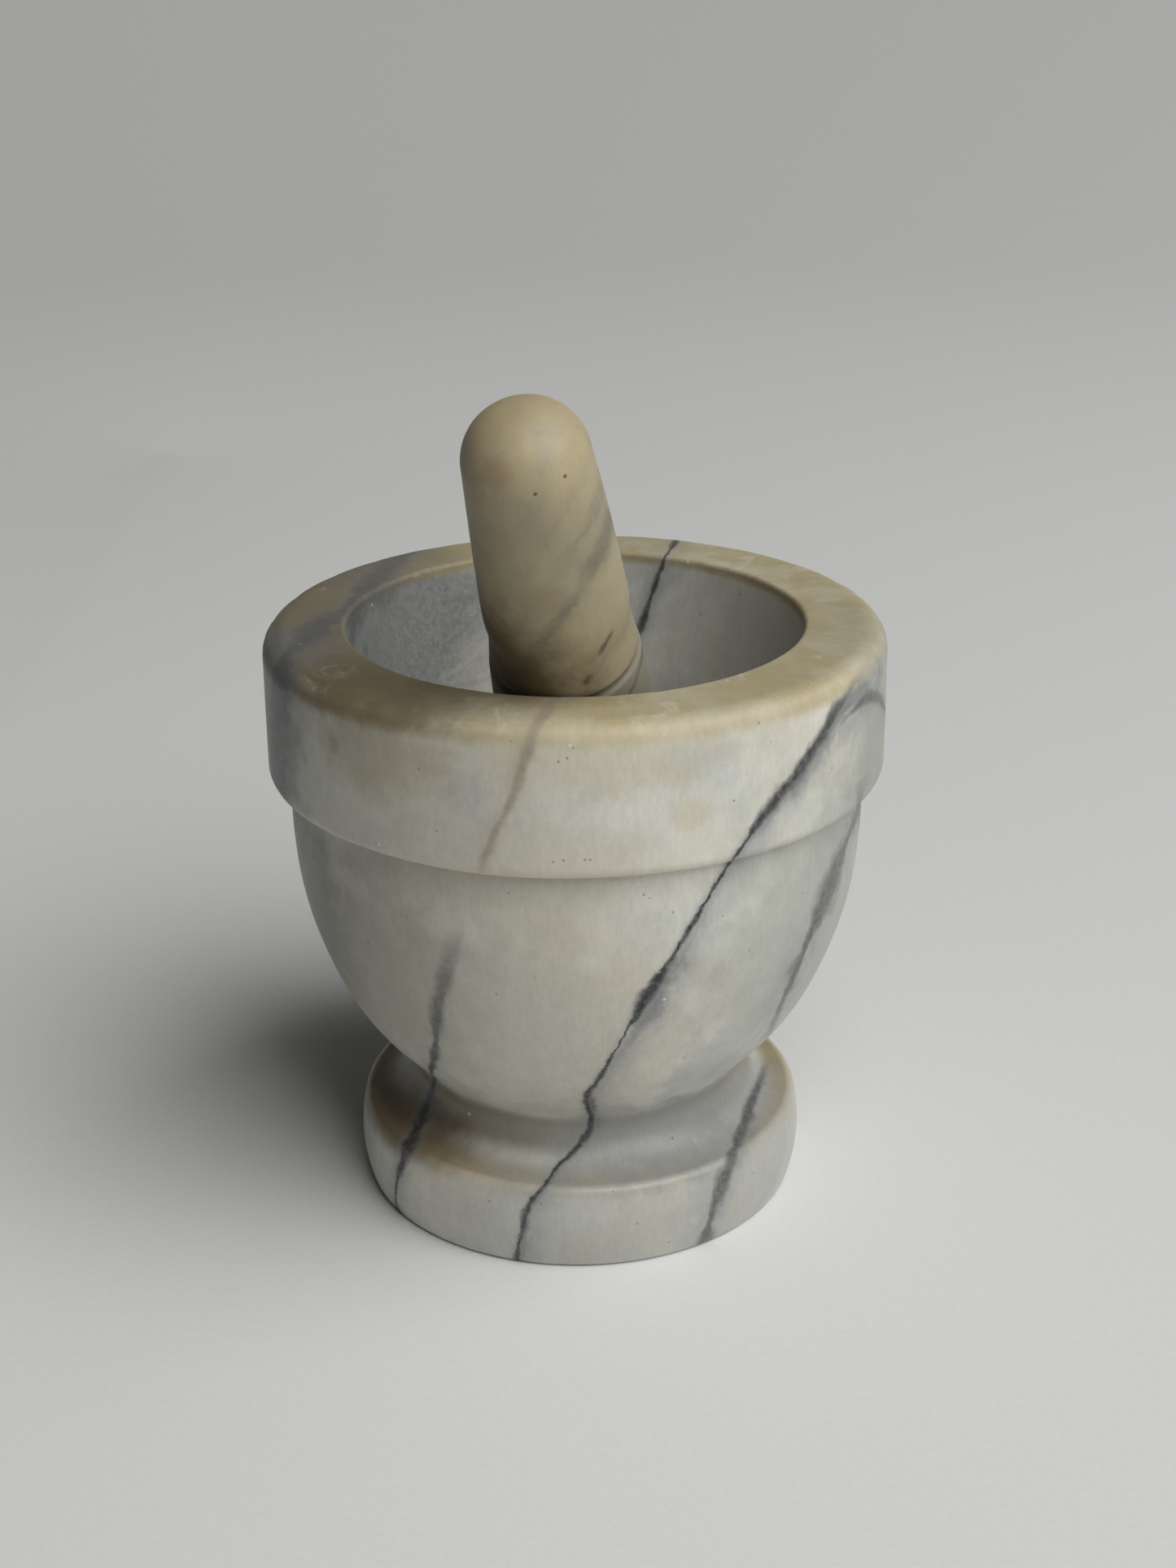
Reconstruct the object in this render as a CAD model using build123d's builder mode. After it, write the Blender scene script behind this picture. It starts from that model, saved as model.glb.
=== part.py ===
from build123d import *
import math
import os

# Mortar and pestle, each turned from one piece of veined marble.
# Millimetres, +Z up, -Y is the front.  Origin: middle of the mortar's flat base.

# ---- mortar, outside: radii and heights ----
height = 98.5                # base to rim
collar_radius = 50.0         # the thick band below the rim, the widest part
collar_bottom = 74.5
bowl_radius = 46.7           # where the bowl meets the collar
bowl_swell = ((36.2, 32.0), (42.4, 44.0), (45.7, 56.0))  # radius, height on the way up
bowl_start = (0.66, 0.75)    # direction in which the bowl leaves the neck
neck_radius = 27.6           # narrowest place, between bowl and foot
neck_height = 22.4
cove_middle = (30.0, 16.9)   # the hollow curve from the foot up to the neck
foot_radius = 36.4           # at the base
foot_belly = 37.75           # the side of the foot bulges this far
foot_top_radius = 36.7
foot_height = 14.9

# ---- mortar, inside: a round bottom and a wall that opens a little upwards ----
hollow_radius = 34.8
hollow_centre = 68.5         # height of the centre of the round bottom
wall_taper = math.radians(3.6)

# ---- mortar, radii of its worn edges ----
base_edge = 0.8
foot_edge = 1.2
collar_edge = 2.0
rim_outer_edge = 3.8
rim_inner_edge = 1.0

# ---- pestle, lengths along its own axis from the grinding end ----
grind_radius = 15.0          # round grinding end
head_length = 76.4           # grinding end up to the turned groove
head_top_radius = 11.45
groove_depth = 0.8
groove_width = 1.4
band_length = 8.0            # plain band between the groove and the handle
band_radius = 11.2           # at the groove
handle_radius = 10.85        # at the handle's lower edge
handle_step = 0.35           # the handle stands this far out of the band
handle_length = 32.3         # lower edge up to the dome
handle_middle_radius = 10.15
shoulder_radius = 9.1        # where the dome begins
dome_height = 8.3
dome_fullness = 0.6          # reach of the dome's curve, as a share of its height and radius

# ---- pestle, how it rests in the mortar ----
lean = math.radians(32.6)            # away from upright
lean_bearing = math.radians(-102.2)  # direction of the lean seen from above, +X is zero
grind_centre = (5.27, 6.12, 50.76)   # centre of the round grinding end

near = 0.01                  # a circle this close to a height is at that height
quarter_turn = math.radians(45)


# ---- mortar ----
neck_point = (neck_radius, neck_height)
foot_corner = (foot_top_radius, foot_height)
hollow_floor = hollow_centre - hollow_radius
hollow_side = (
    hollow_radius * math.cos(quarter_turn),
    hollow_centre - hollow_radius * math.sin(quarter_turn),
)
wall_bottom = (
    hollow_radius * math.cos(wall_taper),
    hollow_centre - hollow_radius * math.sin(wall_taper),
)
wall_top = (wall_bottom[0] + (height - wall_bottom[1]) * math.tan(wall_taper), height)

with BuildPart() as mortar:
    with BuildSketch(Plane.XZ):
        with BuildLine():
            Line((0, 0), (foot_radius, 0))
            ThreePointArc((foot_radius, 0), (foot_belly, foot_height * 0.55), foot_corner)
            ThreePointArc(foot_corner, cove_middle, neck_point)
            Spline(
                neck_point,
                *bowl_swell,
                (bowl_radius, collar_bottom),
                tangents=(bowl_start, (0, 1)),
            )
            Line((bowl_radius, collar_bottom), (collar_radius, collar_bottom))
            Line((collar_radius, collar_bottom), (collar_radius, height))
            Line((collar_radius, height), (0, height))
            Line((0, height), (0, 0))
        make_face()
    revolve(axis=Axis.Z)

    with BuildSketch(Plane.XZ):
        with BuildLine():
            Line((0, hollow_floor), (0, height))
            Line((0, height), wall_top)
            Line(wall_top, wall_bottom)
            ThreePointArc(wall_bottom, hollow_side, (0, hollow_floor))
        make_face()
    revolve(axis=Axis.Z, mode=Mode.SUBTRACT)

    circles = mortar.edges().filter_by(GeomType.CIRCLE)
    rim = circles.filter_by_position(Axis.Z, height - near, height + near).sort_by(SortBy.RADIUS)
    fillet(rim[0], rim_inner_edge)
    fillet(rim[-1], rim_outer_edge)

    circles = mortar.edges().filter_by(GeomType.CIRCLE)
    ledge = circles.filter_by_position(Axis.Z, collar_bottom - near, collar_bottom + near)
    fillet(circles.filter_by_position(Axis.Z, -near, near), base_edge)
    fillet(circles.filter_by_position(Axis.Z, foot_height - near, foot_height + near), foot_edge)
    fillet(ledge.sort_by(SortBy.RADIUS)[-1], collar_edge)

mortar.part.label = "mortar"


# ---- pestle ----
pestle_up = Vector(
    math.sin(lean) * math.cos(lean_bearing),
    math.sin(lean) * math.sin(lean_bearing),
    math.cos(lean),
)
grind_tip = Vector(*grind_centre) - pestle_up * grind_radius
sideways = pestle_up.cross(Vector(0, 0, 1)).normalized()
# In this plane x is the distance from the pestle's axis, and y runs along the axis.
half_section = Plane(origin=grind_tip, x_dir=sideways, z_dir=sideways.cross(pestle_up))

grind_side = (
    grind_radius * math.cos(quarter_turn),
    grind_radius * (1 - math.sin(quarter_turn)),
)
groove_low = head_length - groove_width / 2
groove_high = head_length + groove_width / 2
band_top = head_length + band_length
dome_start = band_top + handle_length
dome_top = dome_start + dome_height

with BuildPart() as pestle:
    with BuildSketch(half_section):
        with BuildLine():
            ThreePointArc((0, 0), grind_side, (grind_radius, grind_radius))
            Line((grind_radius, grind_radius), (head_top_radius, groove_low))
            ThreePointArc(
                (head_top_radius, groove_low),
                (head_top_radius - groove_depth, head_length),
                (band_radius, groove_high),
            )
            Line((band_radius, groove_high), (handle_radius - handle_step, band_top))
            Line((handle_radius - handle_step, band_top), (handle_radius, band_top))
            ThreePointArc(
                (handle_radius, band_top),
                (handle_middle_radius, band_top + handle_length / 2),
                (shoulder_radius, dome_start),
            )
            Bezier(
                (shoulder_radius, dome_start),
                (shoulder_radius, dome_start + dome_height * dome_fullness),
                (shoulder_radius * dome_fullness, dome_top),
                (0, dome_top),
            )
            Line((0, dome_top), (0, 0))
        make_face()
    revolve(axis=Axis(grind_tip, pestle_up))

pestle.part.label = "pestle"


os.makedirs("parts", exist_ok=True)
export_step(mortar.part, "parts/mortar.step")
export_step(pestle.part, "parts/pestle.step")
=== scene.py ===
"""Turned marble mortar with a wide collar and a waisted foot, and the loose pestle in it.

Both stones are surfaces of revolution worked out with numpy. Their grey veins are sheets that run
right through the stone, so a vein on the outside comes back on the rim and inside the hollow.
"""

from __future__ import annotations

import logging
import math
from dataclasses import dataclass, field
from enum import Enum
from typing import Callable, Sequence

import bpy
import numpy as np
from mathutils import Matrix, Vector


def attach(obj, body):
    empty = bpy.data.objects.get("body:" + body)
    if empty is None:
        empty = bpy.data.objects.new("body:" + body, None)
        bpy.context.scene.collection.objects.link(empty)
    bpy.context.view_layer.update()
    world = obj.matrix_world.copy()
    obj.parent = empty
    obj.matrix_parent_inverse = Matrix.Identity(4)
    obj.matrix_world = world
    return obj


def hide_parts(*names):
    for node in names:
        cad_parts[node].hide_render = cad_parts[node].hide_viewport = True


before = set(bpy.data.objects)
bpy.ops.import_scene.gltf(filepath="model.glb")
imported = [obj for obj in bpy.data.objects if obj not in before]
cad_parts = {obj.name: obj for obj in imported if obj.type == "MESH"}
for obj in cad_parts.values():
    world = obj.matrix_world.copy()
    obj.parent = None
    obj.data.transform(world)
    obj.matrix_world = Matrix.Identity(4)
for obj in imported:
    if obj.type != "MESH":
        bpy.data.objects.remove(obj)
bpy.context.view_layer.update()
LOG = logging.getLogger("mortar_and_pestle")

MM = 0.001
FULL_TURN = 2.0 * math.pi
Array = np.ndarray
Colour = tuple[float, float, float]
Socket = bpy.types.NodeSocket
Feed = Socket | float | Sequence[float]


class Stone(Enum):
    """The two stones: the body each rides on, which is also the node it stands for."""

    MORTAR = "mortar"
    PESTLE = "pestle"

    @property
    def slot(self) -> str:
        """The record's material slot for this stone."""
        return f"{self.value}_marble"


# ---------------------------------------------------------------------------------------------
# Outlines
# ---------------------------------------------------------------------------------------------


def straight(start: Sequence[float], end: Sequence[float], step: float) -> Array:
    """Evenly spaced points from start to end: start + t (end - start).

    Args:
        start: first point, radius and height in mm.
        end: last point.
        step: spacing wished for, in mm.

    Returns:
        Points as an (n, 2) array.
    """
    a, b = np.array(start, float), np.array(end, float)
    count = max(2, int(math.ceil(np.linalg.norm(b - a) / step)) + 1)
    t = np.linspace(0.0, 1.0, count)[:, None]
    return a + t * (b - a)


def arc_through(start: Sequence[float], middle: Sequence[float], end: Sequence[float],
                step: float) -> Array:
    """Points on the circle through three points: centre + radius (cos a, sin a), a going evenly.

    Args:
        start: first point, radius and height in mm.
        middle: a point on the arc.
        end: last point.
        step: spacing wished for, in mm.

    Returns:
        Points as an (n, 2) array.
    """
    a, m, b = (np.array(p, float) for p in (start, middle, end))
    rows = 2.0 * np.array([m - a, b - a])
    centre = np.linalg.solve(rows, np.array([m @ m - a @ a, b @ b - a @ a]))
    radius = np.linalg.norm(a - centre)
    first, mid, last = (math.atan2(*(p - centre)[::-1]) for p in (a, m, b))
    sweep = (last - first) % FULL_TURN
    if (mid - first) % FULL_TURN > sweep:
        sweep -= FULL_TURN
    count = max(3, int(math.ceil(abs(sweep) * radius / step)) + 1)
    angles = first + np.linspace(0.0, 1.0, count) * sweep
    return centre + radius * np.column_stack([np.cos(angles), np.sin(angles)])


def fair_curve(points: Sequence[Sequence[float]], leaving: Sequence[float],
               arriving: Sequence[float], step: float) -> Array:
    """A cubic spline through points, with continuous curvature and given end directions.

    The slopes at the points solve the usual three-term equations over chord lengths, and each
    span is the cubic Hermite blend of its two ends.

    Args:
        points: points to pass through, radius and height in mm.
        leaving: direction at the first point.
        arriving: direction at the last point.
        step: spacing wished for, in mm.

    Returns:
        Points as an (n, 2) array.
    """
    p = np.array(points, float)
    chord = np.linalg.norm(np.diff(p, axis=0), axis=1)
    knots = np.concatenate([[0.0], np.cumsum(chord)])
    n = len(p)
    system, right = np.eye(n), np.zeros((n, 2))
    right[0] = np.array(leaving, float) / np.linalg.norm(leaving)
    right[-1] = np.array(arriving, float) / np.linalg.norm(arriving)
    inner = np.arange(1, n - 1)
    before, after = chord[:-1], chord[1:]
    system[inner, inner - 1] = after
    system[inner, inner] = 2.0 * (before + after)
    system[inner, inner + 1] = before
    secant = np.diff(p, axis=0) / chord[:, None]
    right[1:-1] = 3.0 * (after[:, None] * secant[:-1] + before[:, None] * secant[1:])
    slope = np.linalg.solve(system, right)
    at = np.linspace(0.0, knots[-1], int(math.ceil(knots[-1] / step)) + 1)
    span = np.clip(np.searchsorted(knots, at, side="right") - 1, 0, n - 2)
    t = ((at - knots[span]) / chord[span])[:, None]
    h = chord[span][:, None]
    return (p[span] * (2 * t**3 - 3 * t**2 + 1) + p[span + 1] * (3 * t**2 - 2 * t**3)
            + slope[span] * h * (t**3 - 2 * t**2 + t) + slope[span + 1] * h * (t**3 - t**2))


def bezier(handles: Sequence[Sequence[float]], count: int) -> Array:
    """Points on the cubic Bezier curve of four handles, weighted by Bernstein's polynomials.

    Args:
        handles: the four handles, radius and height in mm.
        count: how many points.

    Returns:
        Points as a (count, 2) array.
    """
    a, b, c, d = (np.array(h, float) for h in handles)
    t = np.linspace(0.0, 1.0, count)[:, None]
    return a * (1 - t) ** 3 + 3 * b * t * (1 - t) ** 2 + 3 * c * t**2 * (1 - t) + d * t**3


def lengths(points: Array) -> Array:
    """Length along a row of points, from the first, at each point."""
    return np.concatenate([[0.0], np.cumsum(np.linalg.norm(np.diff(points, axis=0), axis=1))])


def cut_back(points: Array, reach: float) -> Array:
    """Takes the last stretch off a run of points, which then ends exactly there.

    Args:
        points: the run as an (n, 2) array.
        reach: length taken off, in mm.

    Returns:
        The shorter run.
    """
    run = lengths(points)
    stop = run[-1] - reach
    end = np.array([np.interp(stop, run, points[:, axis]) for axis in (0, 1)])
    return np.vstack([points[run < stop - 1e-6], end])


EASE_HANDLE = 0.55  # how far an eased corner's handles lie towards it, as in a quarter circle


def join_eased(runs: Sequence[Array], reaches: Sequence[float], count: int = 9) -> Array:
    """Joins runs of an outline end to end and rounds the corner between each two.

    A corner loses its reach from both neighbours, and a Bezier curve whose handles point at the
    corner takes its place. A reach of nought leaves the join as it is.

    Args:
        runs: the outline's runs in order, each an (n, 2) array.
        reaches: how far each corner's rounding reaches, one number fewer than runs.
        count: points on each rounding.

    Returns:
        The whole outline as an (n, 2) array without doubled points.
    """
    pieces: list[Array] = [runs[0]]
    for reach, run in zip(reaches, runs[1:]):
        if reach <= 0.0:
            pieces.append(run[1:])
            continue
        corner = run[0]
        before = cut_back(pieces.pop(), reach)
        after = cut_back(run[::-1], reach)[::-1]
        a, d = before[-1], after[0]
        handles = [a, a + EASE_HANDLE * (corner - a), d + EASE_HANDLE * (corner - d), d]
        rounding = bezier(handles, count)
        pieces += [before[:-1], rounding, after[1:]]
    return np.vstack(pieces)


# ---------------------------------------------------------------------------------------------
# Surfaces
# ---------------------------------------------------------------------------------------------


@dataclass(frozen=True)
class Unevenness:
    """Smooth random relief: the mean of many plane waves that run in random directions.

    Attributes:
        wavelength: typical wavelength, in mm.
        waves: how many waves are added.
        seed: picks the directions and phases.
    """

    wavelength: float
    waves: int = 24
    seed: int = 1

    def at(self, points: Array) -> Array:
        """Height between about -1 and 1: the sum of cos(k.p + phase) over its usual size.

        Args:
            points: places as an (..., 3) array, in mm.

        Returns:
            The height at each place.
        """
        rng = np.random.default_rng(self.seed)
        direction = rng.normal(size=(self.waves, 3))
        direction /= np.linalg.norm(direction, axis=1)[:, None]
        wave = direction * (FULL_TURN / (self.wavelength * rng.uniform(0.7, 1.6, (self.waves, 1))))
        phase = rng.uniform(0.0, FULL_TURN, self.waves)
        return np.cos(points @ wave.T + phase).sum(-1) / math.sqrt(2.0 * self.waves)


@dataclass(frozen=True)
class Dent:
    """A small chip or pit: a bell-shaped hollow at one place.

    Attributes:
        place: its middle, in mm.
        radius: how wide it is, in mm.
        depth: how deep it is, in mm.
    """

    place: tuple[float, float, float]
    radius: float
    depth: float

    def at(self, points: Array) -> Array:
        """Depth times exp(-(distance / radius) squared)."""
        gap = np.linalg.norm(points - np.array(self.place), axis=-1)
        return self.depth * np.exp(-((gap / self.radius) ** 2))


def nearness(outline: Array, corner: Sequence[float], spread: float) -> Array:
    """How near each outline point is to a corner: exp(-(distance / spread) squared).

    Args:
        outline: (n, 2) outline, in mm.
        corner: the corner's radius and height, in mm.
        spread: how far the effect reaches, in mm.

    Returns:
        One number from 0 to 1 for each outline point.
    """
    gap = np.linalg.norm(outline - np.array(corner, float), axis=1)
    return np.exp(-((gap / spread) ** 2))


def ramp(value: Array, low: float, high: float) -> Array:
    """Smooth step from 0 at low to 1 at high: t squared (3 - 2 t)."""
    t = np.clip((value - low) / (high - low), 0.0, 1.0)
    return t * t * (3.0 - 2.0 * t)


@dataclass
class TurnedStone:
    """A surface of revolution: an outline carried round the axis, with relief along its normals.

    Attributes:
        name: the piece's name.
        outline: (n, 2) outline in mm, both ends on the axis, the stone on its left.
        sides: points round the axis.
        relief: gives the height of the relief in mm at places in mm.
        tints: numbers for each outline point that the finish reads, by name.
        turn: rotation that stands the axis where it belongs.
        foot: where the outline's own origin goes, in mm.
    """

    name: str
    outline: Array
    sides: int
    relief: Callable[[Array], Array]
    tints: dict[str, Array]
    turn: Array = field(default_factory=lambda: np.eye(3))
    foot: tuple[float, float, float] = (0.0, 0.0, 0.0)

    def normals(self) -> Array:
        """Outward normal of each outline point: its direction of travel turned to the right."""
        travel = np.gradient(self.outline, axis=0)
        travel /= np.linalg.norm(travel, axis=1)[:, None]
        return np.column_stack([travel[:, 1], -travel[:, 0]])

    def grid(self) -> Array:
        """Places (r cos a, r sin a, z), moved along their normals by the relief.

        Returns:
            Every ring but the two poles, as a (rows, sides, 3) array, in mm.
        """
        angle = np.arange(self.sides) * (FULL_TURN / self.sides)
        ring = np.stack([np.cos(angle), np.sin(angle)], -1)
        flat = self.outline[1:-1]
        normal = self.normals()[1:-1]
        place = self.carry(flat, ring)
        height = self.relief(place)[..., None]
        return place + height * self.carry(normal, ring)

    @staticmethod
    def carry(rows: Array, ring: Array) -> Array:
        """Carries (radius, height) rows round a ring of unit vectors, as (rows, sides, 3)."""
        level = rows[:, None, :1] * ring[None, :, :]
        up = np.broadcast_to(rows[:, None, 1:], (len(rows), len(ring), 1))
        return np.concatenate([level, up], -1)

    def faces(self, rows: int) -> list[list[int]]:
        """Quads between neighbouring rings and triangles round both poles, all facing outwards.

        Args:
            rows: rings between the two poles.

        Returns:
            Lists of vertex numbers.
        """
        here = np.arange(rows * self.sides).reshape(rows, self.sides)
        beside = np.roll(here, -1, axis=1)
        quads = np.stack([here[:-1], beside[:-1], beside[1:], here[1:]], -1).reshape(-1, 4)
        first = np.full(self.sides, rows * self.sides)
        start = np.stack([first, beside[0], here[0]], -1)
        end = np.stack([here[-1], beside[-1], first + 1], -1)
        return [*start.tolist(), *quads.tolist(), *end.tolist()]

    def build(self) -> bpy.types.Object:
        """Makes the mesh, smooth shaded, with its tints as point attributes.

        Returns:
            The new object, at the origin.
        """
        grid = self.grid()
        poles = np.column_stack([np.zeros((2, 2)), self.outline[[0, -1], 1]])
        points = np.vstack([grid.reshape(-1, 3), poles])
        points = (points @ self.turn.T + np.array(self.foot)) * MM
        mesh = bpy.data.meshes.new(self.name)
        mesh.from_pydata(points.tolist(), [], self.faces(len(grid)))
        mesh.polygons.foreach_set("use_smooth", np.ones(len(mesh.polygons), bool))
        for tint, numbers in self.tints.items():
            spread = np.concatenate([np.repeat(numbers[1:-1], self.sides), numbers[[0, -1]]])
            layer = mesh.attributes.new(tint, "FLOAT", "POINT")
            layer.data.foreach_set("value", spread.astype(np.float32))
        mesh.validate()
        mesh.update()
        piece = bpy.data.objects.new(self.name, mesh)
        bpy.context.scene.collection.objects.link(piece)
        return piece


# ---------------------------------------------------------------------------------------------
# Node work
# ---------------------------------------------------------------------------------------------


@dataclass
class Bench:
    """Lays nodes in one tree and joins them; a feed is a socket or a plain number or colour."""

    tree: bpy.types.NodeTree

    def lay(self, kind: str, **settings: object) -> bpy.types.Node:
        """Adds a node.

        Args:
            kind: the node's type.
            settings: its properties by name.

        Returns:
            The node.
        """
        node = self.tree.nodes.new(kind)
        for key, value in settings.items():
            setattr(node, key, value)
        return node

    def plug(self, socket: Socket, feed: Feed) -> None:
        """Joins a socket to an input, or sets the input to a number or colour.

        Args:
            socket: the input.
            feed: what it gets.
        """
        if isinstance(feed, bpy.types.NodeSocket):
            self.tree.links.new(feed, socket)
        elif socket.type == "RGBA" and len(feed) == 3:
            socket.default_value = (*feed, 1.0)
        else:
            socket.default_value = feed

    def sum(self, operation: str, *feeds: Feed, clamp: bool = False) -> Socket:
        """One Math node.

        Args:
            operation: the Math node's operation.
            feeds: its inputs in order.
            clamp: keep the result between 0 and 1.

        Returns:
            The result.
        """
        node = self.lay("ShaderNodeMath", operation=operation, use_clamp=clamp)
        for socket, feed in zip(node.inputs, feeds):
            self.plug(socket, feed)
        return node.outputs[0]

    def product(self, *feeds: Feed) -> Socket:
        """Multiplies numbers.

        Args:
            feeds: the numbers, two or more.

        Returns:
            All of them multiplied together.
        """
        result = feeds[0]
        for feed in feeds[1:]:
            result = self.sum("MULTIPLY", result, feed)
        return result

    def move(self, operation: str, *feeds: Feed) -> Socket:
        """One Vector Math node.

        Args:
            operation: the Vector Math node's operation.
            feeds: its inputs in order.

        Returns:
            Its value for a length, a distance or a dot product, else its vector.
        """
        node = self.lay("ShaderNodeVectorMath", operation=operation)
        for socket, feed in zip(node.inputs, feeds):
            self.plug(socket, feed)
        if operation == "SCALE":
            self.plug(node.inputs["Scale"], feeds[1])
        scalar = operation in ("LENGTH", "DISTANCE", "DOT_PRODUCT")
        return node.outputs["Value" if scalar else "Vector"]

    def parts(self, vector: Feed) -> tuple[Socket, Socket, Socket]:
        """The three numbers of a vector."""
        node = self.lay("ShaderNodeSeparateXYZ")
        self.plug(node.inputs[0], vector)
        return node.outputs[0], node.outputs[1], node.outputs[2]

    def vector(self, x: Feed, y: Feed, z: Feed) -> Socket:
        """Makes a vector of three numbers.

        Args:
            x: the first.
            y: the second.
            z: the third.

        Returns:
            The vector.
        """
        node = self.lay("ShaderNodeCombineXYZ")
        for socket, feed in zip(node.inputs, (x, y, z)):
            self.plug(socket, feed)
        return node.outputs[0]

    def step(self, value: Feed, low: Feed, high: Feed, bottom: Feed = 0.0,
             top: Feed = 1.0) -> Socket:
        """Smooth step.

        Args:
            value: what is read.
            low: where the step starts.
            high: where it ends.
            bottom: the result at its start.
            top: the result at its end.

        Returns:
            The step's height.
        """
        node = self.lay("ShaderNodeMapRange", interpolation_type="SMOOTHSTEP")
        for name, feed in zip(("Value", "From Min", "From Max", "To Min", "To Max"),
                              (value, low, high, bottom, top)):
            self.plug(node.inputs[name], feed)
        return node.outputs[0]

    def noise(self, vector: Feed, scale: Feed, detail: float, rough: float = 0.5,
              bend: float = 0.0) -> Socket:
        """Noise from about 0 to 1.

        Args:
            vector: where to read it.
            scale: how fine it is, per metre.
            detail: octaves.
            rough: how strong the finer octaves are.
            bend: distortion.

        Returns:
            The noise.
        """
        node = self.lay("ShaderNodeTexNoise", noise_dimensions="3D")
        self.plug(node.inputs["Vector"], vector)
        self.plug(node.inputs["Scale"], scale)
        node.inputs["Detail"].default_value = detail
        node.inputs["Roughness"].default_value = rough
        node.inputs["Distortion"].default_value = bend
        return node.outputs["Fac"]

    def ripple(self, vector: Feed, scale: Feed, detail: float, rough: float = 0.5,
               bend: float = 0.0) -> Socket:
        """The same noise about nought, from about -0.5 to 0.5."""
        return self.sum("SUBTRACT", self.noise(vector, scale, detail, rough, bend), 0.5)

    def tint(self, share: Feed, under: Feed, over: Feed, way: str = "MIX") -> Socket:
        """Lays one colour over another by a share.

        Args:
            share: 0 for the colour under, 1 for the colour over.
            under: colour beneath.
            over: colour above.
            way: the Mix node's blend type.

        Returns:
            The mixed colour.
        """
        node = self.lay("ShaderNodeMix", data_type="RGBA", blend_type=way)
        self.plug(node.inputs["Factor"], share)
        self.plug(node.inputs[6], under)
        self.plug(node.inputs[7], over)
        return node.outputs[2]

    def dimmed(self, colour: Feed, shade: Socket) -> Socket:
        """A colour multiplied by one number."""
        return self.tint(1.0, colour, self.vector(shade, shade, shade), "MULTIPLY")

    def attribute(self, name: str) -> Socket:
        """A number that the piece's mesh carries."""
        return self.lay("ShaderNodeAttribute", attribute_name=name).outputs["Fac"]

    def curve(self, value: Feed, stations: Sequence[tuple[float, float]]) -> Socket:
        """A smooth curve drawn through given stations.

        Args:
            value: where to read the curve.
            stations: (value, height) pairs, the first numbers rising.

        Returns:
            The curve's height.
        """
        at = np.array(stations, float)
        low, span = at[0, 0], at[-1, 0] - at[0, 0]
        floor, rise = at[:, 1].min(), max(float(np.ptp(at[:, 1])), 1e-9)
        node = self.lay("ShaderNodeFloatCurve")
        share = self.sum("DIVIDE", self.sum("SUBTRACT", value, low), span, clamp=True)
        self.plug(node.inputs["Value"], share)
        line = node.mapping.curves[0]
        drawn = [((v - low) / span, (h - floor) / rise) for v, h in at]
        line.points[0].location, line.points[1].location = drawn[0], drawn[-1]
        for v, h in drawn[1:-1]:
            line.points.new(v, h)
        node.mapping.update()
        return self.sum("MULTIPLY_ADD", node.outputs[0], rise, floor)

    def use(self, group: bpy.types.NodeTree, **feeds: Feed) -> dict[str, Socket]:
        """Places a group with its values.

        Args:
            group: the node group.
            feeds: its inputs by name, with _ for a space.

        Returns:
            Its outputs by name.
        """
        node = self.lay("ShaderNodeGroup", node_tree=group)
        for name, feed in feeds.items():
            self.plug(node.inputs[name.replace("_", " ")], feed)
        return {socket.name: socket for socket in node.outputs}


FLOAT, COLOUR, VECTOR = "NodeSocketFloat", "NodeSocketColor", "NodeSocketVector"


def new_group(name: str, takes: dict[str, str], gives: dict[str, str]) -> tuple[Bench, dict, dict]:
    """Starts a node group with named inputs and outputs.

    Args:
        name: the group's name.
        takes: its inputs, name to socket type.
        gives: its outputs, name to socket type.

    Returns:
        A bench on the group, its inputs by name, and its output sockets by name.
    """
    tree = bpy.data.node_groups.new(name, "ShaderNodeTree")
    for label, kind in takes.items():
        tree.interface.new_socket(label, in_out="INPUT", socket_type=kind)
    for label, kind in gives.items():
        tree.interface.new_socket(label, in_out="OUTPUT", socket_type=kind)
    source, sink = tree.nodes.new("NodeGroupInput"), tree.nodes.new("NodeGroupOutput")
    inputs = {socket.name: socket for socket in source.outputs if socket.name}
    outputs = {socket.name: socket for socket in sink.inputs if socket.name}
    return Bench(tree), inputs, outputs


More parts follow.
